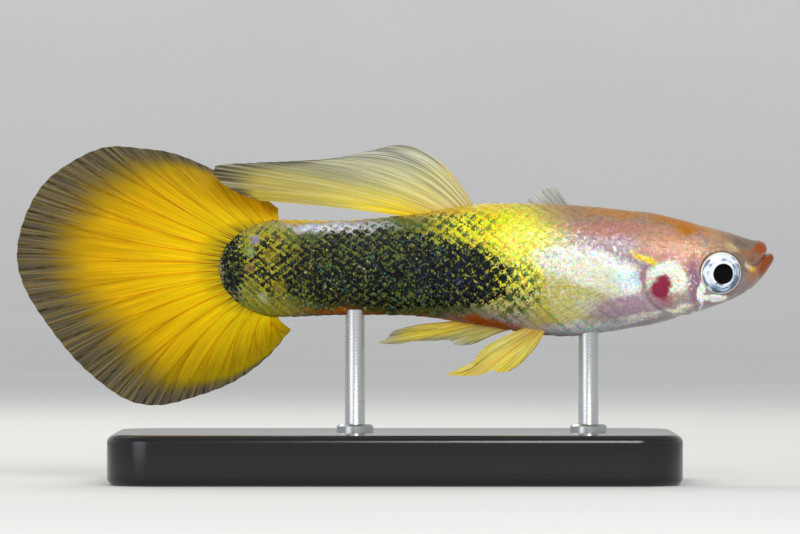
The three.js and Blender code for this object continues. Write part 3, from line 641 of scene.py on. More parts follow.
    # Shining cells between the black ones, fewer on a scale's dark half
    gems = add_node(material, "TexVoronoi", {"Vector": stretched, "Scale": 1 / (SHINY_SPECK * MM)}).outputs
    shiny = add_node(material, "SeparateColor", {"Color": gems["Color"]}).outputs
    core = add_node(material, "MapRange", {"Value": gems["Distance"], "From Min": 0.55, "From Max": 0.1})
    in_front = add_node(material, "MapRange", {"Value": band, "To Min": 1.0, "To Max": 0.35})
    inputs = {"Value": shiny["Red"], "From Min": 0.56, "From Max": 0.68, "To Max": 0.85}
    lit = add_node(material, "MapRange", inputs).outputs["Result"]
    for share in (core.outputs["Result"], has_black, in_front.outputs["Result"]):
        lit = add_node(material, "Math", {0: lit, 1: share}, operation="MULTIPLY").outputs[0]
    shiny_tone = add_node(material, "ValToRGB", {"Fac": shiny["Green"]}, ramp=SHINY_CELLS).outputs["Color"]
    violet = cloud_mask(material, warped, VIOLET)
    layers = {"Factor": violet, "A": shiny_tone, "B": linear("#3d3c86")}
    shiny_tone = add_node(material, "Mix", layers, data_type="RGBA").outputs["Result"]
    layers = {"Factor": lit, "A": colour, "B": shiny_tone}
    colour = add_node(material, "Mix", layers, data_type="RGBA").outputs["Result"]
    colour = sprayed(material, colour, jolted, TAIL_SPOTS)
    # A scale's free edge is clear and darker
    edge = add_node(material, "Attribute", attribute_name="free_edge").outputs["Fac"]
    edge_share = add_node(material, "Math", {0: edge, 1: 0.24}, operation="MULTIPLY").outputs[0]
    layers = {"Factor": edge_share, "A": colour, "B": linear("#3b2f26")}
    colour = add_node(material, "Mix", layers, **MULTIPLIED).outputs["Result"]
    # Silver shows where the skin is pale
    bright = add_node(material, "RGBToBW", {"Color": colour}).outputs[0]
    inputs = {"Value": bright, "From Min": 0.35, "From Max": 0.9, "To Max": 0.12}
    silver = add_node(material, "MapRange", inputs)
    grain = add_node(material, "TexNoise", {"Vector": place, "Scale": 1 / (GRAIN * MM), "Detail": 2.0})
    inputs = {"Height": grain.outputs["Fac"], "Strength": 0.25, "Distance": 0.02 * MM}
    bump = add_node(material, "Bump", inputs)
    gloss = add_node(material, "MapRange", {"Value": mottle, "To Min": 0.28, "To Max": 0.5})
    wet = add_node(material, "MapRange", {"Value": has_black, "To Min": 0.34, "To Max": 0.02})
    inputs = {
        "Base Color": colour,
        "Metallic": silver.outputs["Result"],
        "Roughness": gloss.outputs["Result"],
        "Specular IOR Level": 0.14,
        "Subsurface Weight": 0.12,
        "Subsurface Radius": (1.0, 0.5, 0.35),
        "Subsurface Scale": 0.4 * MM,
        "Coat Weight": wet.outputs["Result"],
        "Coat Roughness": 0.15,
        "Normal": bump.outputs["Normal"],
    }
    plug_in(material, add_node(material, "BsdfPrincipled", inputs), output)
    return material


SKIN = sprayed_fish_skin()


def on_map(share):
    """A share of the way along or round the skin as a place on its unwrap."""
    return 0.02 + 0.96 * share


def skin_mesh():
    """The skin, closed at its tail and in its mouth, unwrapped on its own rings."""
    rings, sides = skin_points.shape[:2]
    tail_end, throat = rings * sides, rings * sides + 1
    points = skin_points.reshape(-1, 3)
    points = np.vstack([points, skin_points[0].mean(axis=0), skin_points[-1].mean(axis=0)])
    faces = band_faces(rings, sides)
    last = (rings - 1) * sides
    for side in range(sides):
        following = (side + 1) % sides
        faces.append([tail_end, following, side])
        faces.append([throat, last + side, last + following])
    piece = mesh_piece("fish_skin", points, [face[::-1] for face in faces], SKIN)
    along = on_map(np.linspace(0, 1, rings))
    corners = []
    for i in range(rings - 1):
        for j in range(sides):
            corners += [(along[i + 1], j), (along[i + 1], j + 1), (along[i], j + 1), (along[i], j)]
    for j in range(sides):
        corners += [(along[0], j), (along[0], j + 1), (0.01, j + 0.5)]
        corners += [(along[-1], j + 1), (along[-1], j), (0.99, j + 0.5)]
    unwrap = np.array(corners, dtype=float)
    unwrap[:, 1] = on_map(unwrap[:, 1] / sides)
    layer = piece.data.uv_layers.new(name="OFBake")
    layer.uv.foreach_set("vector", unwrap.astype(np.float32).ravel())
    return piece


skin = skin_mesh()
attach(skin, "root")
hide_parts("head", "lower_jaw", "gill_cover_left", "gill_cover_right", "trunk", "tail_stalk")

for place, rod_x in ROD_PLACES.items():
    top = AXIS_HEIGHT + float(along_body(2, np.array(rod_x))) + 0.35
    pin = rod(place, rod_x, top)
    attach(pin, "root")
    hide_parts(f"stand_rod_{place}")

# The scales: thin clear plates like roof tiles, rooted in the skin at the front and free
# at the back. They lie in rows from the gill covers to the tail lobe and hold the same
# pigment as the skin, so both carry one set of markings.
SCALE_ROWS = 24
SCALE_SPACING_FRONT, SCALE_SPACING_TAIL = 0.86, 0.62
SCALE_OVERLAP = 1.6
SCALE_LIFT, SCALE_THICKNESS = 0.055, 0.012
SCALE_STEPS = 7
# The coat's first and last columns, and where its rows start behind and over the gill covers
COAT_FRONT, COAT_REAR = 17.0, -9.6
BEHIND_GILLS, OVER_GILLS = 14.75, 1.15
# Each coat piece and the x between which its scales are rooted
COATS = (("scales_stalk", -20.0, 1.6), ("scales_trunk", 1.6, 9.0), ("scales_shoulder", 9.0, 30.0))
# The side of a scale's patch on the skin's unwrap
PATCH = 0.003
draw = np.random.default_rng(17)
# Some scales have a stronger dark band than others
band_draw = np.random.default_rng(5)


def on_skin(x, share):
    """Points of the plain form and their outward normals, at x and a share of the way
    round from the belly over the left side, in fractions of the section's length."""
    rows = np.interp(x, skin_x, np.arange(len(skin_x)))
    columns = (np.asarray(share) % 1) * SIDES_OF_SKIN
    i = np.clip(np.floor(rows).astype(int), 0, len(skin_x) - 2)
    j = np.floor(columns).astype(int)
    a, b = (rows - i)[..., None], (columns - j)[..., None]
    j0, j1 = j % SIDES_OF_SKIN, (j + 1) % SIDES_OF_SKIN
    found = []
    for grid in (skin_form, skin_out):
        near = grid[i, j0] * (1 - b) + grid[i, j1] * b
        far = grid[i + 1, j0] * (1 - b) + grid[i + 1, j1] * b
        found.append(near * (1 - a) + far * a)
    return found


def scale_places():
    """The root's x and share of each scale, with the spacing there."""
    places = []
    x = COAT_FRONT
    column = 0
    while x > COAT_REAR:
        spacing = np.interp(x, [-10, 6], [SCALE_SPACING_TAIL, SCALE_SPACING_FRONT])
        for row in range(SCALE_ROWS):
            share = (row + 0.5 * (column % 2)) / SCALE_ROWS
            point, _ = on_skin(x, share)
            over_gills = point[2] > OVER_GILLS and gill_depth(x - 0.6, point[2]) < -0.2
            if x < BEHIND_GILLS or over_gills:
                places.append((x, share, spacing))
        x -= spacing / 2
        column += 1
    return places


def leaf_faces(columns, rows):
    """The quads of a grid of points, and the loop round its border."""
    side = columns + 1
    i, j = np.meshgrid(np.arange(rows), np.arange(columns), indexing="ij")
    near = i * side + j
    far = near + side
    quads = np.stack([near, near + 1, far + 1, far], axis=-1).reshape(-1, 4)
    border = list(range(side)) + [(k + 1) * side - 1 for k in range(1, rows + 1)]
    border += [rows * side + k for k in range(columns - 1, -1, -1)]
    border += [k * side for k in range(rows - 1, 0, -1)]
    return quads, border


def give_values(piece, **values):
    """Writes point attributes, one value for each vertex."""
    for name, by_vertex in values.items():
        layer = piece.data.attributes.new(name, "FLOAT", "POINT")
        layer.data.foreach_set("value", by_vertex.astype(np.float32))


def give_patches(piece, by_vertex):
    """Writes the OFBake map from one place for each vertex."""
    corners = np.empty(len(piece.data.loops), dtype=np.int32)
    piece.data.loops.foreach_get("vertex_index", corners)
    unwrap = piece.data.uv_layers.new(name="OFBake")
    unwrap.uv.foreach_set("vector", by_vertex[corners].astype(np.float32).ravel())


def scale_plates(name, places):
    """One coat piece: closed plates with their root at p = 0, their free end at p = 1, and
    q from -1 to 1 across them."""
    steps = SCALE_STEPS
    p, q = np.meshgrid(np.linspace(0, 0.985, steps + 1), np.linspace(-1, 1, steps + 1), indexing="ij")
    tip = np.clip((p - 0.4) / 0.6, 0, 1)
    rounding = np.sqrt(1 - tip**2)
    reach = np.hypot(tip, q * rounding)
    free = smooth_step(0.72, 1.0, reach) * smooth_step(0.35, 0.6, p)
    rear_half = smooth_step(0.5, 0.8, p) * (1 - 0.5 * q**2)
    thickness = SCALE_THICKNESS * (1 - 0.9 * np.maximum(reach, np.abs(q)) ** 3)
    side = steps + 1
    count = side * side
    quads, border = leaf_faces(steps, steps)
    upper_faces = np.array(quads)
    rims = np.array([[b, a, count + a, count + b] for a, b in zip(border, border[1:] + border[:1])])
    plate = np.concatenate([upper_faces, upper_faces[:, ::-1] + count, rims])
    points, faces, edges, bands, patches = [], [], [], [], []
    for number, (x, share, spacing) in enumerate(places):
        showing = 1 - 0.75 * smooth_step(9.0, 16.0, x)
        length = spacing * SCALE_OVERLAP * draw.uniform(0.94, 1.06)
        width = draw.uniform(1.08, 1.18) / SCALE_ROWS
        skew = draw.normal(0, 0.03)
        along = np.maximum(x - length * p - skew * q, skin_x[0] + 0.02)
        spot, out = on_skin(along, share + q * rounding * width / 2)
        rise = SCALE_LIFT * (0.45 + 0.55 * showing) + 0.008 * draw.normal()
        lift = -coat_inset(along) - 0.015 - 0.06 * (1 - p) ** 3 + rise * p**1.2 - 0.03 * q**4
        upper = spot + out * (lift + thickness)[..., None]
        lower = spot + out * lift[..., None]
        points.append(np.concatenate([upper.reshape(-1, 3), lower.reshape(-1, 3)]))
        faces.append(plate + number * 2 * count)
        edges.append(np.tile(free.ravel() * showing, 2))
        bands.append(np.tile(rear_half.ravel() * band_draw.uniform(0.6, 1.05), 2))
        root = float(np.interp(x, skin_x, np.arange(len(skin_x)))) / (len(skin_points) - 1)
        patch = [on_map(root) - PATCH * (p - 0.5), on_map(share % 1) + PATCH * q / 2]
        patches.append(np.tile(np.stack(patch, axis=-1).reshape(-1, 2), (2, 1)))
    points = np.concatenate(points) + np.array([0, 0, AXIS_HEIGHT])
    piece = mesh_piece(name, points, np.concatenate(faces), SKIN, sharp_degrees=50)
    give_values(piece, free_edge=np.concatenate(edges), rear_half=np.concatenate(bands))
    give_patches(piece, np.concatenate(patches))
    return piece


every_scale = scale_places()
for part_name, low, high in COATS:
    plates = scale_plates(part_name, [place for place in every_scale if low <= place[0] < high])
    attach(plates, "root")

# The eyes: a low glass dome sunk in each socket, over silver foil with a black pupil at its
# middle. The foil is scratched in rings, and a thin dark line runs round its rim.
# The pupil, how far forward of the middle it lies, and how soft its edge is
PUPIL_RADIUS = 0.62
PUPIL_SHIFT = 0.05
PUPIL_SOFT = 0.015
# How high the dome stands over its rim, how far its rim lies in the skin, and its tilt
EYE_BULGE, EYE_SUNK = 0.46, 0.14
EYE_TURN, EYE_DROP = 14, 7.5
# The foil's tones from its middle out, then its arcs: tone and the range that holds it
FOIL_RINGS = [
    (0.48, "#ffffff"), (0.57, "#dcecf6"), (0.63, "#90a2b8"), (0.72, "#8a9ab2"), (0.78, "#c6dae8"),
    (0.84, "#8a90a6"), (0.91, "#777e96"), (0.945, "#f2f2ee"), (0.97, "#f6f2e2"), (0.985, "#b89c74"),
    (1.0, "#54402c"),
]
FOIL_ARCS = (("#56667e", 0.45, 0.38), ("#f2faff", 0.5, 0.57))


def foiled_glass_eye():
    """Silver foil under clear glass, scratched in rings and streaks, with a black centre."""
    material, output = new_material("silver_foil_under_glass")
    spot = add_node(material, "UVMap", uv_map="OFBake").outputs[0]
    inputs = {0: spot, 1: (0.5, 0.5, 0.0)}
    centred = add_node(material, "VectorMath", inputs, operation="SUBTRACT").outputs[0]
    inputs = {0: centred, "Scale": 2.0 * EYE_RADIUS}
    in_mm = add_node(material, "VectorMath", inputs, operation="SCALE").outputs[0]
    out = add_node(material, "VectorMath", {0: in_mm}, operation="LENGTH").outputs["Value"]
    share = add_node(material, "Math", {0: out, 1: EYE_RADIUS}, operation="DIVIDE").outputs[0]
    colour = add_node(material, "ValToRGB", {"Fac": share}, ramp=FOIL_RINGS).outputs["Color"]
    # Bright and dark arcs in the foil, brightest towards the top
    bearing = add_node(material, "VectorMath", {0: in_mm}, operation="NORMALIZE").outputs[0]
    parts = add_node(material, "SeparateXYZ", {0: bearing}).outputs
    rings = add_node(material, "Math", {0: share, 1: 4.5}, operation="MULTIPLY").outputs[0]
    wound = add_node(material, "CombineXYZ", {"X": parts["X"], "Y": parts["Y"], "Z": rings}).outputs[0]
    inputs = {"Vector": wound, "Scale": 1.25, "Detail": 2.0, "Distortion": 0.5}
    arcs = add_node(material, "TexNoise", inputs).outputs["Fac"]
    inputs = {0: bearing, 1: (-0.04, 0.07, 0.0)}
    lean = add_node(material, "VectorMath", inputs, operation="DOT_PRODUCT").outputs["Value"]
    arc = add_node(material, "Math", {0: arcs, 1: lean}, operation="ADD").outputs[0]
    inside = add_node(material, "MapRange", {"Value": share, "From Min": 0.97, "From Max": 0.91})
    inside = inside.outputs["Result"]
    for tone, low, high in FOIL_ARCS:
        inputs = {"Value": arc, "From Min": low, "From Max": high, "To Max": 0.9}
        streak = add_node(material, "MapRange", inputs).outputs["Result"]
        streak = add_node(material, "Math", {0: streak, 1: inside}, operation="MULTIPLY").outputs[0]
        layers = {"Factor": streak, "A": colour, "B": linear(tone)}
        colour = add_node(material, "Mix", layers, data_type="RGBA").outputs["Result"]
    inputs = {0: in_mm, 1: (PUPIL_SHIFT, 0.0, 0.0)}
    from_pupil = add_node(material, "VectorMath", inputs, operation="SUBTRACT").outputs[0]
    pupil_out = add_node(material, "VectorMath", {0: from_pupil}, operation="LENGTH").outputs["Value"]
    rim = {"From Min": PUPIL_RADIUS + PUPIL_SOFT, "From Max": PUPIL_RADIUS - PUPIL_SOFT}
    pupil = add_node(material, "MapRange", {"Value": pupil_out, **rim}).outputs["Result"]
    layers = {"Factor": pupil, "A": colour, "B": linear("#020203")}
    colour = add_node(material, "Mix", layers, data_type="RGBA").outputs["Result"]
    metal = add_node(material, "MapRange", {"Value": pupil, "To Min": 0.12, "To Max": 0.0})
    inputs = {
        "Base Color": colour,
        "Metallic": metal.outputs["Result"],
        "Roughness": 0.25,
        "Specular IOR Level": 0.0,
        "Coat Weight": 0.8,
        "Coat Roughness": 0.02,
        "Coat IOR": 1.2,
    }
    plug_in(material, add_node(material, "BsdfPrincipled", inputs), output)
    return material


FOIL = foiled_glass_eye()


def eyeball(name, side):
    """A flat dome, sunk in its socket and turned a little forwards and down."""
    rings, sides = 28, 72
    middle = float(half_width(EYE_X, EYE_Z)) - EYE_SUNK
    forward, down = math.radians(EYE_TURN), math.radians(EYE_DROP)
    points, places = [], []
    for ring in range(rings + 1):
        angle = math.radians(115 * ring / rings)
        behind = angle >= math.pi / 2
        radius = EYE_RADIUS * math.sin(angle)
        depth = (0.5 if behind else EYE_BULGE) * math.cos(angle)
        flat = min(angle / (math.pi / 2), 1.25) if behind else radius / EYE_RADIUS
        for k in range(sides):
            turn = 2 * math.pi * k / sides
            grown = max(radius, 0.002)
            dx, dz = grown * math.cos(turn), grown * math.sin(turn)
            x = dx * math.cos(forward) + depth * math.sin(forward)
            y = depth * math.cos(forward) - dx * math.sin(forward)
            z = dz * math.cos(down) - y * math.sin(down)
            y = y * math.cos(down) + dz * math.sin(down)
            points.append((EYE_X + x, side * (middle + y), EYE_Z + z + AXIS_HEIGHT))
            places.append((0.5 + 0.5 * flat * math.cos(turn), 0.5 + 0.5 * flat * math.sin(turn)))
    faces = tube_faces(rings + 1, sides)
    if side > 0:
        faces = [face[::-1] for face in faces]
    ball = mesh_piece(name, points, faces, FOIL)
    give_patches(ball, np.clip(np.array(places), 0, 1))
    return ball


for side_name, side in (("left", 1), ("right", -1)):
    ball = eyeball(f"eyeball_{side_name}", side)
    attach(ball, "root")
    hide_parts(f"eye_{side_name}")

# The fins: cast in clear resin over wire-thin rays that fork towards the edge, then
# stained from the root outwards. Each is one thin leaf, thickest along its rays.
FIN_ROOT_THICKNESS = 0.2
FIN_EDGE_THICKNESS = 0.05
RAY_HALF_WIDTH = 0.065


def through(*points):
    """A smooth curve through a few points (x, z). It gives the points at shares u of it."""
    guides = np.array(points, dtype=float)
    padded = np.vstack([guides[:1], guides, guides[-1:]])
    fine = np.linspace(0, len(guides) - 1, 60 * len(guides))
    i = np.minimum(fine.astype(int), len(guides) - 2)
    t = (fine - i)[:, None]
    a, b, c, d = (padded[i + k] for k in range(4))
    curve = b + t * ((c - a) / 2 + t * (a - 2.5 * b + 2 * c - d / 2 + t * (1.5 * (b - c) + (d - a) / 2)))
    length = np.concatenate([[0], np.cumsum(np.linalg.norm(np.diff(curve, axis=0), axis=1))])
    length /= length[-1]

    def at(u):
        return np.stack([np.interp(u, length, curve[:, 0]), np.interp(u, length, curve[:, 1])], axis=-1)

    return at


def line(start, end):
    return lambda u: np.outer(1 - u, start) + np.outer(u, end)


def wave(u, waves):
    return np.sin(2 * math.pi * waves * u)


def ray_strength(u, t, width, rays, forks):
    """1 along the middle of each ray and its forks, 0 between them."""
    offsets = [np.zeros_like(t)]
    gap = 1 / rays
    for level, start in enumerate(forks):
        open_by = gap / 2 ** (level + 2) * smooth_step(start, 1.05, t)
        offsets = [base + sign * open_by for base in offsets for sign in (-1, 1)]
    nearest = np.full_like(u, 1e3)
    for ray in range(rays):
        middle = (ray + 0.5) * gap
        for offset in offsets:
            nearest = np.minimum(nearest, np.abs(u - middle - offset))
    thin = RAY_HALF_WIDTH * (1 - 0.5 * t)
    return np.exp(-((nearest * width / thin) ** 2))


def fin_leaf(name, material, node, plan, rays, forks, columns, rows, ridge, fray, clear, place=None):
    """Builds one fin. plan gives its root, its rays' pull, its edge and how it leaves its
    plane; fray is how ragged its edge is, and clear gives the width of its glassy margin."""
    root, lead, edge, off = plan
    u = np.linspace(0, 1, columns + 1)
    t = np.linspace(0, 1, rows + 1)[:, None]
    a, b, c = root(u), lead(u), edge(u)
    reach = np.linalg.norm(c - a, axis=1)
    ragged = fray * (0.5 + 0.3 * wave(u, rays * 2.4) + 0.2 * wave(u, 7.3))
    s = t * (1 - np.maximum(ragged, 0) / reach)
    s3 = s[..., None]
    flat = (1 - s3) ** 2 * a + 2 * s3 * (1 - s3) * b + s3**2 * c
    grid_u = np.broadcast_to(u, s.shape)
    middle = np.stack([flat[..., 0], off(grid_u, s), flat[..., 1]], axis=-1)
    width = np.linalg.norm(np.gradient(middle, axis=1), axis=-1) * columns
    rays_here = ray_strength(grid_u, s, width, rays, forks)
    thick = FIN_ROOT_THICKNESS + (FIN_EDGE_THICKNESS - FIN_ROOT_THICKNESS) * s**0.7
    half = thick / 2 + ridge * (1 - 0.65 * s) * rays_here
    half[-1] *= 0.5
    to_edge = reach * (1 - s)
    margin = 1 - smooth_step(0.0, 1.0, to_edge / np.maximum(clear(grid_u), 0.05))
    front = middle - np.stack([0 * half, half, 0 * half], axis=-1)
    rear = middle + np.stack([0 * half, half, 0 * half], axis=-1)
    if place is not None:
        front = front @ place[:3].T + place[3]
        rear = rear @ place[:3].T + place[3]
    count = (columns + 1) * (rows + 1)
    quads, border = leaf_faces(columns, rows)
    faces = quads.tolist() + (quads[:, ::-1] + count).tolist()
    faces += [[m, k, k + count, m + count] for k, m in zip(border, border[1:] + border[:1])]
    points = np.concatenate([front.reshape(-1, 3), rear.reshape(-1, 3)]) + np.array([0, 0, AXIS_HEIGHT])
    across = np.cross(points[quads[0][1]] - points[quads[0][0]], points[quads[0][3]] - points[quads[0][0]])
    toward_front = (front - rear).reshape(-1, 3)[0]
    if np.dot(across, toward_front) < 0:
        faces = [face[::-1] for face in faces]
    piece = mesh_piece(name, points, faces, material, sharp_degrees=70)
    give_values(piece, ray=np.tile(rays_here.ravel(), 2), margin=np.tile(margin.ravel(), 2))
    uv = np.stack([grid_u, s], axis=-1).reshape(-1, 2) * np.array([0.96, 0.48]) + 0.01
    give_patches(piece, np.concatenate([uv, uv + np.array([0, 0.5])]))
    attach(piece, "root")
    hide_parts(node)


# Streaks of milky and bluish resin, which on the pelvic fins are partly painted highlight: tone and the
# noise's range that holds it
MILKY_AND_HIGHLIGHT_STREAKS = (("#f6f6ea", 0.47, 0.6), ("#74849a", 0.48, 0.36))
ALL_OVER = ((0.0, "#ffffff"), (1.0, "#ffffff"))


def stained_resin(
    name, across, inner, rays, outer, solid, thin, streak_mm, width_mm,
    clear_foot=0.0, ray_cover=0.35, milk_and_highlight=0.0, milk_from=ALL_OVER, root_stain=0.0,
):
    """Clear resin stained with dye. Light passes through it, so it glows against the
    sheet; the dye pools along the rays and runs out towards the glassy margin.
    across is a ramp from the fin's first ray to its last; inner, rays and outer are those
    from its root to its edge and in its margin; solid and thin are how much it hides."""
    material, output = new_material(name)
    spot = add_node(material, "UVMap", uv_map="OFBake").outputs[0]
    parts = add_node(material, "SeparateXYZ", {0: spot}).outputs
    outward = add_node(material, "Math", {0: parts["Y"], 1: 0.5}, operation="MODULO").outputs[0]
    outward = add_node(material, "Math", {0: outward, 1: 2.0}, operation="MULTIPLY").outputs[0]
    joined = add_node(material, "CombineXYZ", {"X": parts["X"], "Y": outward, "Z": 0.0}).outputs[0]
    inputs = {"Vector": joined, "Scale": (width_mm / streak_mm, 2.2, 1.0)}
    stretched = add_node(material, "Mapping", inputs).outputs[0]
    inputs = {"Vector": stretched, "Scale": 1.0, "Detail": 4.0, "Distortion": 0.25}
    streaks = add_node(material, "TexNoise", inputs).outputs["Fac"]
    inputs = {"Vector": joined, "Scale": (2.2 * width_mm / streak_mm, 1.4, 1.0)}
    finer = add_node(material, "Mapping", inputs).outputs[0]
    inputs = {"Vector": finer, "Scale": 1.0, "Detail": 2.0}
    hairs = add_node(material, "TexNoise", inputs).outputs["Fac"]
    wide = add_node(material, "TexNoise", {"Vector": joined, "Scale": 5.0, "Detail": 3.0}).outputs["Fac"]
    over_width = add_node(material, "ValToRGB", {"Fac": parts["X"]}, ramp=across).outputs["Color"]
    over_length = add_node(material, "ValToRGB", {"Fac": outward}, ramp=inner).outputs["Color"]
    layers = {"Factor": 0.5, "A": over_width, "B": over_length}
    colour = add_node(material, "Mix", layers, data_type="RGBA").outputs["Result"]
    ray = add_node(material, "Attribute", attribute_name="ray").outputs["Fac"]
    inputs = {"Value": wide, **MIDDLE_OF_NOISE, "To Min": 0.25, "To Max": 1.0}
    uneven = add_node(material, "MapRange", inputs).outputs["Result"]
    ray_share = add_node(material, "Math", {0: ray, 1: uneven}, operation="MULTIPLY").outputs[0]
    ray_tone = add_node(material, "ValToRGB", {"Fac": outward}, ramp=rays).outputs["Color"]
    layers = {"Factor": ray_share, "A": colour, "B": ray_tone}
    colour = add_node(material, "Mix", layers, data_type="RGBA").outputs["Result"]
    inputs = {"Value": streaks, **MIDDLE_OF_NOISE, "To Min": 0.8, "To Max": 1.25}
    shade = add_node(material, "MapRange", inputs).outputs["Result"]
    layers = {"Factor": 1.0, "A": colour, "B": shade}
    colour = add_node(material, "Mix", layers, **MULTIPLIED).outputs["Result"]
    if milk_and_highlight:
        milky = add_node(material, "ValToRGB", {"Fac": parts["X"]}, ramp=milk_from).outputs["Color"]
        for tone, low, high in MILKY_AND_HIGHLIGHT_STREAKS:
            inputs = {"Value": hairs, "From Min": low, "From Max": high, "To Max": milk_and_highlight}
            veil = add_node(material, "MapRange", inputs).outputs["Result"]
            veil = add_node(material, "Math", {0: veil, 1: milky}, operation="MULTIPLY").outputs[0]
            layers = {"Factor": veil, "A": colour, "B": linear(tone)}
            colour = add_node(material, "Mix", layers, data_type="RGBA").outputs["Result"]
    if root_stain:
        inputs = {"Value": outward, "From Min": root_stain, "From Max": 0.4 * root_stain}
        near_root = add_node(material, "MapRange", inputs).outputs["Result"]
        inputs = {"Value": streaks, "From Min": 0.46, "From Max": 0.56}
        in_streaks = add_node(material, "MapRange", inputs).outputs["Result"]
        stain = add_node(material, "Math", {0: near_root, 1: in_streaks}, operation="MULTIPLY").outputs[0]
        layers = {"Factor": stain, "A": colour, "B": linear("#1b2428")}
        colour = add_node(material, "Mix", layers, data_type="RGBA").outputs["Result"]
    # The margin's border runs in and out with the streaks
    margin = add_node(material, "Attribute", attribute_name="margin").outputs["Fac"]
    inputs = {"Value": streaks, **MIDDLE_OF_NOISE, "To Min": -0.22, "To Max": 0.22}
    run = add_node(material, "MapRange", inputs).outputs["Result"]
    in_margin = add_node(material, "MapRange", {"Value": margin, "From Max": 0.2}).outputs["Result"]
    run = add_node(material, "Math", {0: run, 1: in_margin}, operation="MULTIPLY").outputs[0]
    edge = add_node(material, "Math", {0: margin, 1: run}, operation="ADD").outputs[0]
    inputs = {"Value": edge, "From Min": 0.05}
    edge = add_node(material, "MapRange", inputs, interpolation_type="SMOOTHSTEP").outputs["Result"]
    outer_tone = add_node(material, "ValToRGB", {"Fac": hairs}, ramp=outer).outputs["Color"]
    layers = {"Factor": edge, "A": colour, "B": outer_tone}
    colour = add_node(material, "Mix", layers, data_type="RGBA").outputs["Result"]
    cover = add_node(material, "MapRange", {"Value": edge, "To Min": solid, "To Max": thin})
    inputs = {0: ray, 1: ray_cover, 2: cover.outputs["Result"]}
    cover = add_node(material, "Math", inputs, operation="MULTIPLY_ADD", use_clamp=True).outputs[0]
    if clear_foot:
        inputs = {"Value": outward, "From Min": 0.5 * clear_foot, "From Max": 2 * clear_foot}
        past_foot = add_node(material, "MapRange", inputs).outputs["Result"]
        cover = add_node(material, "Math", {0: cover, 1: past_foot}, operation="MULTIPLY").outputs[0]
    inputs = {
        "Base Color": colour,
        "Roughness": 0.42,
        "IOR": 1.4,
        "Specular IOR Level": 0.12,
        "Alpha": cover,
    }
    front_lit = add_node(material, "BsdfPrincipled", inputs).outputs[0]
    back_lit = add_node(material, "BsdfTranslucent", {"Color": colour}).outputs[0]
    clear = add_node(material, "BsdfTransparent").outputs[0]
    back_lit = add_node(material, "MixShader", {0: cover, 1: clear, 2: back_lit}).outputs[0]
    plug_in(material, add_node(material, "MixShader", {0: 0.4, 1: front_lit, 2: back_lit}), output)
    return material


# The tail fin: a fan of clear resin over twenty forked rays, stained sulphur yellow, with
# brown rays and a smoky, glassy margin. Its root wraps round the end of the tail stalk.
CAUDAL_EDGE = through(
    (-7.0, 3.45), (-9.3, 4.92), (-12.9, 6.6), (-15.3, 7.02), (-17.4, 7.08), (-19.3, 6.3),
    (-21.1, 4.9), (-22.3, 2.8), (-22.74, 0.6), (-22.2, -1.5), (-20.6, -4.0), (-18.7, -6.2),
    (-16.4, -8.0), (-14.4, -8.45), (-12.2, -8.0), (-9.8, -7.1), (-7.7, -5.6), (-6.2, -3.9),
)


def caudal_root(u):
    angle = np.radians(98 + 160 * u)
    return np.stack([-6.3 + 3.3 * np.cos(angle), -0.2 + 2.5 * np.sin(angle)], axis=-1)


def caudal_lead(u):
    a, c = caudal_root(u), CAUDAL_EDGE(u)
    angle = np.radians(128 + 104 * u)
    pull = 0.42 * np.linalg.norm(c - a, axis=1)
    return a + pull[:, None] * np.stack([np.cos(angle), np.sin(angle)], axis=-1)


CAUDAL_RESIN = stained_resin(
    "yellow_stained_resin",
    across=[
        (0.0, "#e4b000"), (0.2, "#dcc000"), (0.45, "#f4cc00"), (0.7, "#ecd000"), (0.85, "#d4c400"),
        (1.0, "#e4d000"),
    ],
    inner=[(0.0, "#ffec00"), (0.35, "#f8d800"), (0.6, "#deb000"), (0.76, "#ac8010"), (1.0, "#8c6c14")],
    rays=[(0.0, "#e89000"), (0.4, "#d67c00"), (0.75, "#a06806"), (1.0, "#5c4c2c")],
    outer=[(0.36, "#3c3218"), (0.5, "#57481f"), (0.64, "#86743c")],
    solid=0.94,
    thin=0.7,
    streak_mm=0.2,
    width_mm=34.0,
    root_stain=0.24,
)
fin_leaf(
    "caudal_membrane",
    CAUDAL_RESIN,
    "caudal_fin",
    (caudal_root, caudal_lead, CAUDAL_EDGE, lambda u, t: t * t * (0.25 + 0.75 * u * u + 0.14 * wave(u, 3))),
    rays=20,
    forks=(0.35, 0.66),
    columns=420,
    rows=100,
    ridge=0.035,
    fray=0.05,
    clear=lambda u: np.interp(
        u,
        [0, 0.06, 0.12, 0.2, 0.28, 0.36, 0.5, 0.62, 0.72, 0.8, 0.88, 0.95, 1],
        [0.05, 0.2, 1.0, 2.0, 4.4, 5.2, 5.0, 5.4, 4.0, 1.8, 0.7, 0.15, 0.05],
    ),
)

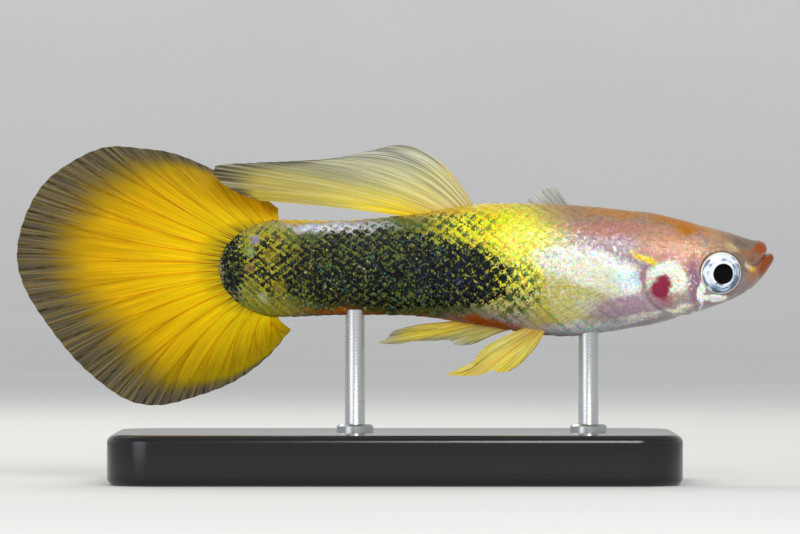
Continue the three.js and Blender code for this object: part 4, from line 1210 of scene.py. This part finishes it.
# The dorsal fin: a long flag of the same resin on nine rays, glassy grey-green and stained
# yellow along its foot. It is let into the back and swings over to the fish's right.
DORSAL_EDGE = through(
    (-0.7, 7.05), (-3.3, 6.45), (-6, 6.22), (-9, 6.1), (-10.9, 5.85), (-10.2, 4.7), (-8.2, 3.85),
)
DORSAL_SWING = -1.75
DORSAL_RESIN = stained_resin(
    "grey_green_stained_resin",
    across=[
        (0.0, "#f09020"), (0.025, "#c0be96"), (0.18, "#bebc90"), (0.26, "#dcd696"), (0.5, "#dcd690"),
        (0.7, "#f0dc30"), (0.94, "#ffe400"), (1.0, "#fff8a0"),
    ],
    inner=[(0.0, "#ffdc00"), (0.3, "#f6e230"), (0.48, "#d2cc80"), (0.66, "#8f9082"), (1.0, "#6c6654")],
    rays=[(0.0, "#c89c00"), (0.35, "#efe8a0"), (0.7, "#dcd8a8"), (1.0, "#7c7860")],
    outer=[(0.36, "#4c4838"), (0.5, "#726c4e"), (0.64, "#c4c0a0")],
    solid=0.9,
    thin=0.75,
    milk_and_highlight=0.8,
    milk_from=[(0.0, "#ffffff"), (0.45, "#d0d0d0"), (0.7, "#8c8c8c"), (0.85, "#282828"), (1.0, "#000000")],
    streak_mm=0.22,
    width_mm=8.0,
)
fin_leaf(
    "dorsal_membrane",
    DORSAL_RESIN,
    "dorsal_fin",
    (
        line((4.9, 3.3), (1.8, 2.7)),
        lambda u: line((2.4, 7.9), (-2.5, 3.45))(u**0.85),
        DORSAL_EDGE,
        lambda u, t: DORSAL_SWING * t**1.6 * (0.35 + 0.65 * np.minimum(1, 2.2 * u)) + 0.06 * t * wave(u, 2),
    ),
    rays=9,
    forks=(0.5,),
    columns=180,
    rows=130,
    ridge=0.05,
    fray=0.14,
    clear=lambda u: np.interp(u, [0, 0.1, 0.3, 0.5, 0.75, 0.9, 1], [0.2, 0.3, 1.0, 2.4, 3.2, 1.2, 0.2]),
)

# The anal and pelvic fins: small, narrow leaves of the same resin, yellow with orange
# roots. They are let into the belly along their feet and trail back.
# On the pelvic fins the whitish milky streaks are partly painted highlight
YELLOW_RESIN = stained_resin(
    "bright_yellow_stained_resin",
    across=[
        (0.0, "#ecd830"), (0.1, "#f4f084"), (0.4, "#f6f07c"), (0.55, "#e8b410"), (0.7, "#f4ee50"),
        (1.0, "#ecdc10"),
    ],
    inner=[(0.0, "#e48c00"), (0.2, "#f0d800"), (0.6, "#f4f068"), (1.0, "#ecdc30")],
    rays=[(0.0, "#d87400"), (0.5, "#e8b000"), (1.0, "#dca820")],
    outer=[(0.3, "#e8c83c"), (0.5, "#fce85a"), (0.7, "#fff8c0")],
    solid=0.93,
    thin=0.75,
    streak_mm=0.15,
    width_mm=3.0,
    milk_and_highlight=0.3,
)
ANAL_RESIN = stained_resin(
    "olive_stained_resin",
    across=[
        (0.0, "#c4c88e"), (0.44, "#c0c488"), (0.52, "#d8c010"), (0.7, "#f0dc00"), (0.85, "#ecc800"),
        (1.0, "#c88410"),
    ],
    inner=[(0.0, "#c85400"), (0.25, "#dcb400"), (0.7, "#dccc30"), (1.0, "#8a8460")],
    rays=[(0.0, "#c05000"), (0.5, "#d0b020"), (1.0, "#6c5430")],
    outer=[(0.3, "#7c7a5a"), (0.5, "#b8b488"), (0.7, "#dcd8b4")],
    solid=0.94,
    thin=0.66,
    streak_mm=0.15,
    width_mm=3.0,
    milk_and_highlight=0.25,
)
fin_leaf(
    "anal_membrane",
    ANAL_RESIN,
    "anal_fin",
    (
        line((7.7, -3.7), (4.5, -3.1)),
        line((5.9, -4.15), (3.2, -3.45)),
        through(
            (5.7, -4.3), (4.8, -4.72), (4.1, -4.84), (3.5, -4.76), (3.3, -4.52), (2.2, -4.56),
            (0.9, -4.6), (0.2, -4.76), (-1.0, -4.68), (-0.5, -4.42), (-0.3, -4.1), (0.2, -3.84),
            (1.1, -3.62), (1.9, -3.5),
        ),
        lambda u, t: 0.25 * t * t,
    ),
    rays=6,
    forks=(0.5,),
    columns=96,
    rows=80,
    ridge=0.05,
    fray=0.06,
    clear=lambda u: 0.9 + 0 * u,
)
PELVIC_PLANS = {
    "right": (
        -1,
        line((6.7, -4.1), (8.4, -5.1)),
        through(
            (5.3, -4.95), (4.9, -5.4), (4.74, -5.9), (4.55, -6.16), (3.9, -6.4), (3.08, -6.55),
            (3.9, -6.68), (4.9, -6.62), (5.8, -6.34), (6.0, -6.42), (6.6, -6.42), (7.3, -6.0),
            (7.7, -5.6),
        ),
        0.9,
    ),
    "left": (
        1,
        line((6.6, -4.3), (8.8, -4.6)),
        through((5.9, -5.4), (6, -6.1), (6.7, -6.45), (7.4, -6.1), (8.1, -5.4)),
        1.0,
    ),
}
for side_name, (side, lead, edge, splay) in PELVIC_PLANS.items():
    fin_leaf(
        f"pelvic_membrane_{side_name}",
        YELLOW_RESIN,
        f"pelvic_fin_{side_name}",
        (
            line((8, -3.7), (9.1, -3.75)),
            lead,
            edge,
            lambda u, t, side=side, splay=splay: side * (0.5 + splay * t + 0.15 * t * wave(u, 1)),
        ),
        rays=6,
        forks=(0.55,),
        columns=84,
        rows=64,
        ridge=0.05,
        fray=0.07,
        clear=lambda u: 0.5 + 0 * u,
    )

# The pectoral fins: clear round fans of resin with next to no dye and hair-thin rays. Each
# stands on a small raised foot behind the gill cover and reaches back and outwards.
PECTORAL_X, PECTORAL_Z = 13.8, -0.9
PECTORAL_LENGTH = 8.0
PECTORAL_FOOT = 0.45
PECTORAL_SPREAD = 28
CLEAR_RESINS = {
    side_name: stained_resin(
        f"clear_resin_{side_name}",
        across=[(0.0, tone), (1.0, tone)],
        inner=[(0.0, tone), (1.0, tone)],
        rays=[(0.0, ray_tone), (1.0, ray_tone)],
        outer=[(0.3, tone), (0.7, "#e2e4e0")],
        solid=cover,
        thin=cover * 1.3,
        streak_mm=0.2,
        width_mm=6.0,
        clear_foot=0.09,
        ray_cover=ray_cover,
    )
    for side_name, tone, ray_tone, cover, ray_cover in (
        # The right fan's pale yellowish-white tone and whitish rays are partly a painted highlight
        ("right", "#f0ecb4", "#f0eed4", 0.1, 0.25),
        ("left", "#a3a29c", "#6e6e6c", 0.34, 0.45),
    )
}


def pectoral_edge(u):
    angle = np.radians(PECTORAL_SPREAD * (1 - 2 * u))
    reach = PECTORAL_LENGTH * (1 - 0.1 * (1 - u) ** 3 - 0.3 * u**3)
    return np.stack([reach * np.cos(angle), reach * np.sin(angle)], axis=-1)


for side_name, side, along in (("right", -1, (-5.3, -5.4, -0.5)), ("left", 1, (-6.9, 1.4, 3.3))):
    out = np.array(along) / np.linalg.norm(along)
    up = np.array([0.0, 0.0, 1.0])
    across_fin = up - out * np.dot(out, up)
    across_fin /= np.linalg.norm(across_fin)
    foot_y = side * (float(half_width(PECTORAL_X, PECTORAL_Z)) - 0.35)
    turn = np.stack([out, np.cross(across_fin, out), across_fin], axis=1)
    fin_leaf(
        f"pectoral_membrane_{side_name}",
        CLEAR_RESINS[side_name],
        f"pectoral_fin_{side_name}",
        (
            line((0, PECTORAL_FOOT), (0, -PECTORAL_FOOT)),
            lambda u: pectoral_edge(u) / 2,
            pectoral_edge,
            lambda u, t: 0.5 * t * t - 0.5 * t * (2 * u - 1) ** 2,
        ),
        rays=12,
        forks=(0.45,),
        columns=144,
        rows=64,
        ridge=0.035,
        fray=0.22,
        clear=lambda u: 1.4 + 0 * u,
        place=np.vstack([turn, [PECTORAL_X, foot_y, PECTORAL_Z]]),
    )

# Studio: a wide pale tabletop that curves up all round into a low wall, like the inside
# of a light tent, one large soft light in front above, weaker ones beside and behind, and
# the camera level with the fish, far off.
TENT_RADIUS = 1500.0
TENT_BEND = 400.0
TENT_HEIGHT = 600.0
TENT_FOLDS = 60
CLOTH_TONES = [(0.3, "#dcdbd8"), (0.7, "#e0dfdd")]
CAMERA_AWAY = 420.0
PHOTO_WIDTH = 48.0
PHOTO_CENTRE_X = 0.3
PHOTO_CENTRE_Z = 12.88


def glowing_tent_cloth():
    """White tent cloth, lit from outside, so it glows a little, and more on its wall."""
    material, output = new_material("pale_tent_cloth")
    place = add_node(material, "TexCoord").outputs["Object"]
    folds = add_node(material, "TexNoise", {"Vector": place, "Scale": 1 / (TENT_FOLDS * MM), "Detail": 2.0})
    tone = add_node(material, "ValToRGB", {"Fac": folds.outputs["Fac"]}, ramp=CLOTH_TONES)
    height = add_node(material, "SeparateXYZ", {0: place}).outputs["Z"]
    inputs = {"Value": height, "From Max": TENT_BEND * MM / 2, "To Min": 0.08, "To Max": 0.34}
    glow = add_node(material, "MapRange", inputs)
    inputs = {
        "Base Color": tone.outputs["Color"],
        "Roughness": 0.9,
        "Emission Color": linear("#f4f4f2"),
        "Emission Strength": glow.outputs["Result"],
    }
    plug_in(material, add_node(material, "BsdfPrincipled", inputs), output)
    return material


def studio_tent():
    profile = [(0.001, 0.0), (TENT_RADIUS - TENT_BEND, 0.0)]
    for step in range(1, 17):
        angle = math.radians(90 * step / 16)
        profile.append(
            (TENT_RADIUS - TENT_BEND * (1 - math.sin(angle)), TENT_BEND * (1 - math.cos(angle)))
        )
    profile.append((TENT_RADIUS, TENT_HEIGHT))
    sides = 96
    points = [
        (radius * math.cos(2 * math.pi * k / sides), radius * math.sin(2 * math.pi * k / sides), height)
        for radius, height in profile
        for k in range(sides)
    ]
    return mesh_piece("studio_tent", points, band_faces(len(profile), sides), glowing_tent_cloth())


tent = studio_tent()


def soft_light(name, place, size, power, colour="#ffffff"):
    data = bpy.data.lights.new(name, "AREA")
    data.shape = "DISK"
    data.size = size * MM
    data.energy = power
    data.color = linear(colour)[:3]
    light = bpy.data.objects.new(name, data)
    light.location = [v * MM for v in place]
    aim = np.array([0.0, 0.0, AXIS_HEIGHT]) - np.array(place)
    away = math.hypot(aim[0], aim[1])
    light.rotation_euler = (math.atan2(away, -aim[2]), 0, math.atan2(-aim[0], aim[1]))
    bpy.context.collection.objects.link(light)


soft_light("key", (50, -230, 140), 120, 0.32)
soft_light("fill", (-170, -190, 60), 150, 0.1, "#f2f5ff")
soft_light("rim", (-60, 150, 170), 130, 0.18, "#fffaf0")

world = bpy.data.worlds.new("soft_room")
bpy.context.scene.world = world
world.use_nodes = True
world.node_tree.nodes["Background"].inputs["Color"].default_value = linear("#e8ecf0")
world.node_tree.nodes["Background"].inputs["Strength"].default_value = 0.6

camera_data = bpy.data.cameras.new("camera")
camera_data.sensor_width = 36.0
camera_data.lens = 36.0 * CAMERA_AWAY / PHOTO_WIDTH
camera_data.clip_start = 0.01
camera_data.clip_end = 5.0
camera = bpy.data.objects.new("camera", camera_data)
camera.location = (PHOTO_CENTRE_X * MM, -CAMERA_AWAY * MM, PHOTO_CENTRE_Z * MM)
camera.rotation_euler = (math.radians(90), 0, 0)
bpy.context.collection.objects.link(camera)
bpy.context.scene.camera = camera
bpy.context.scene.view_settings.view_transform = "Standard"
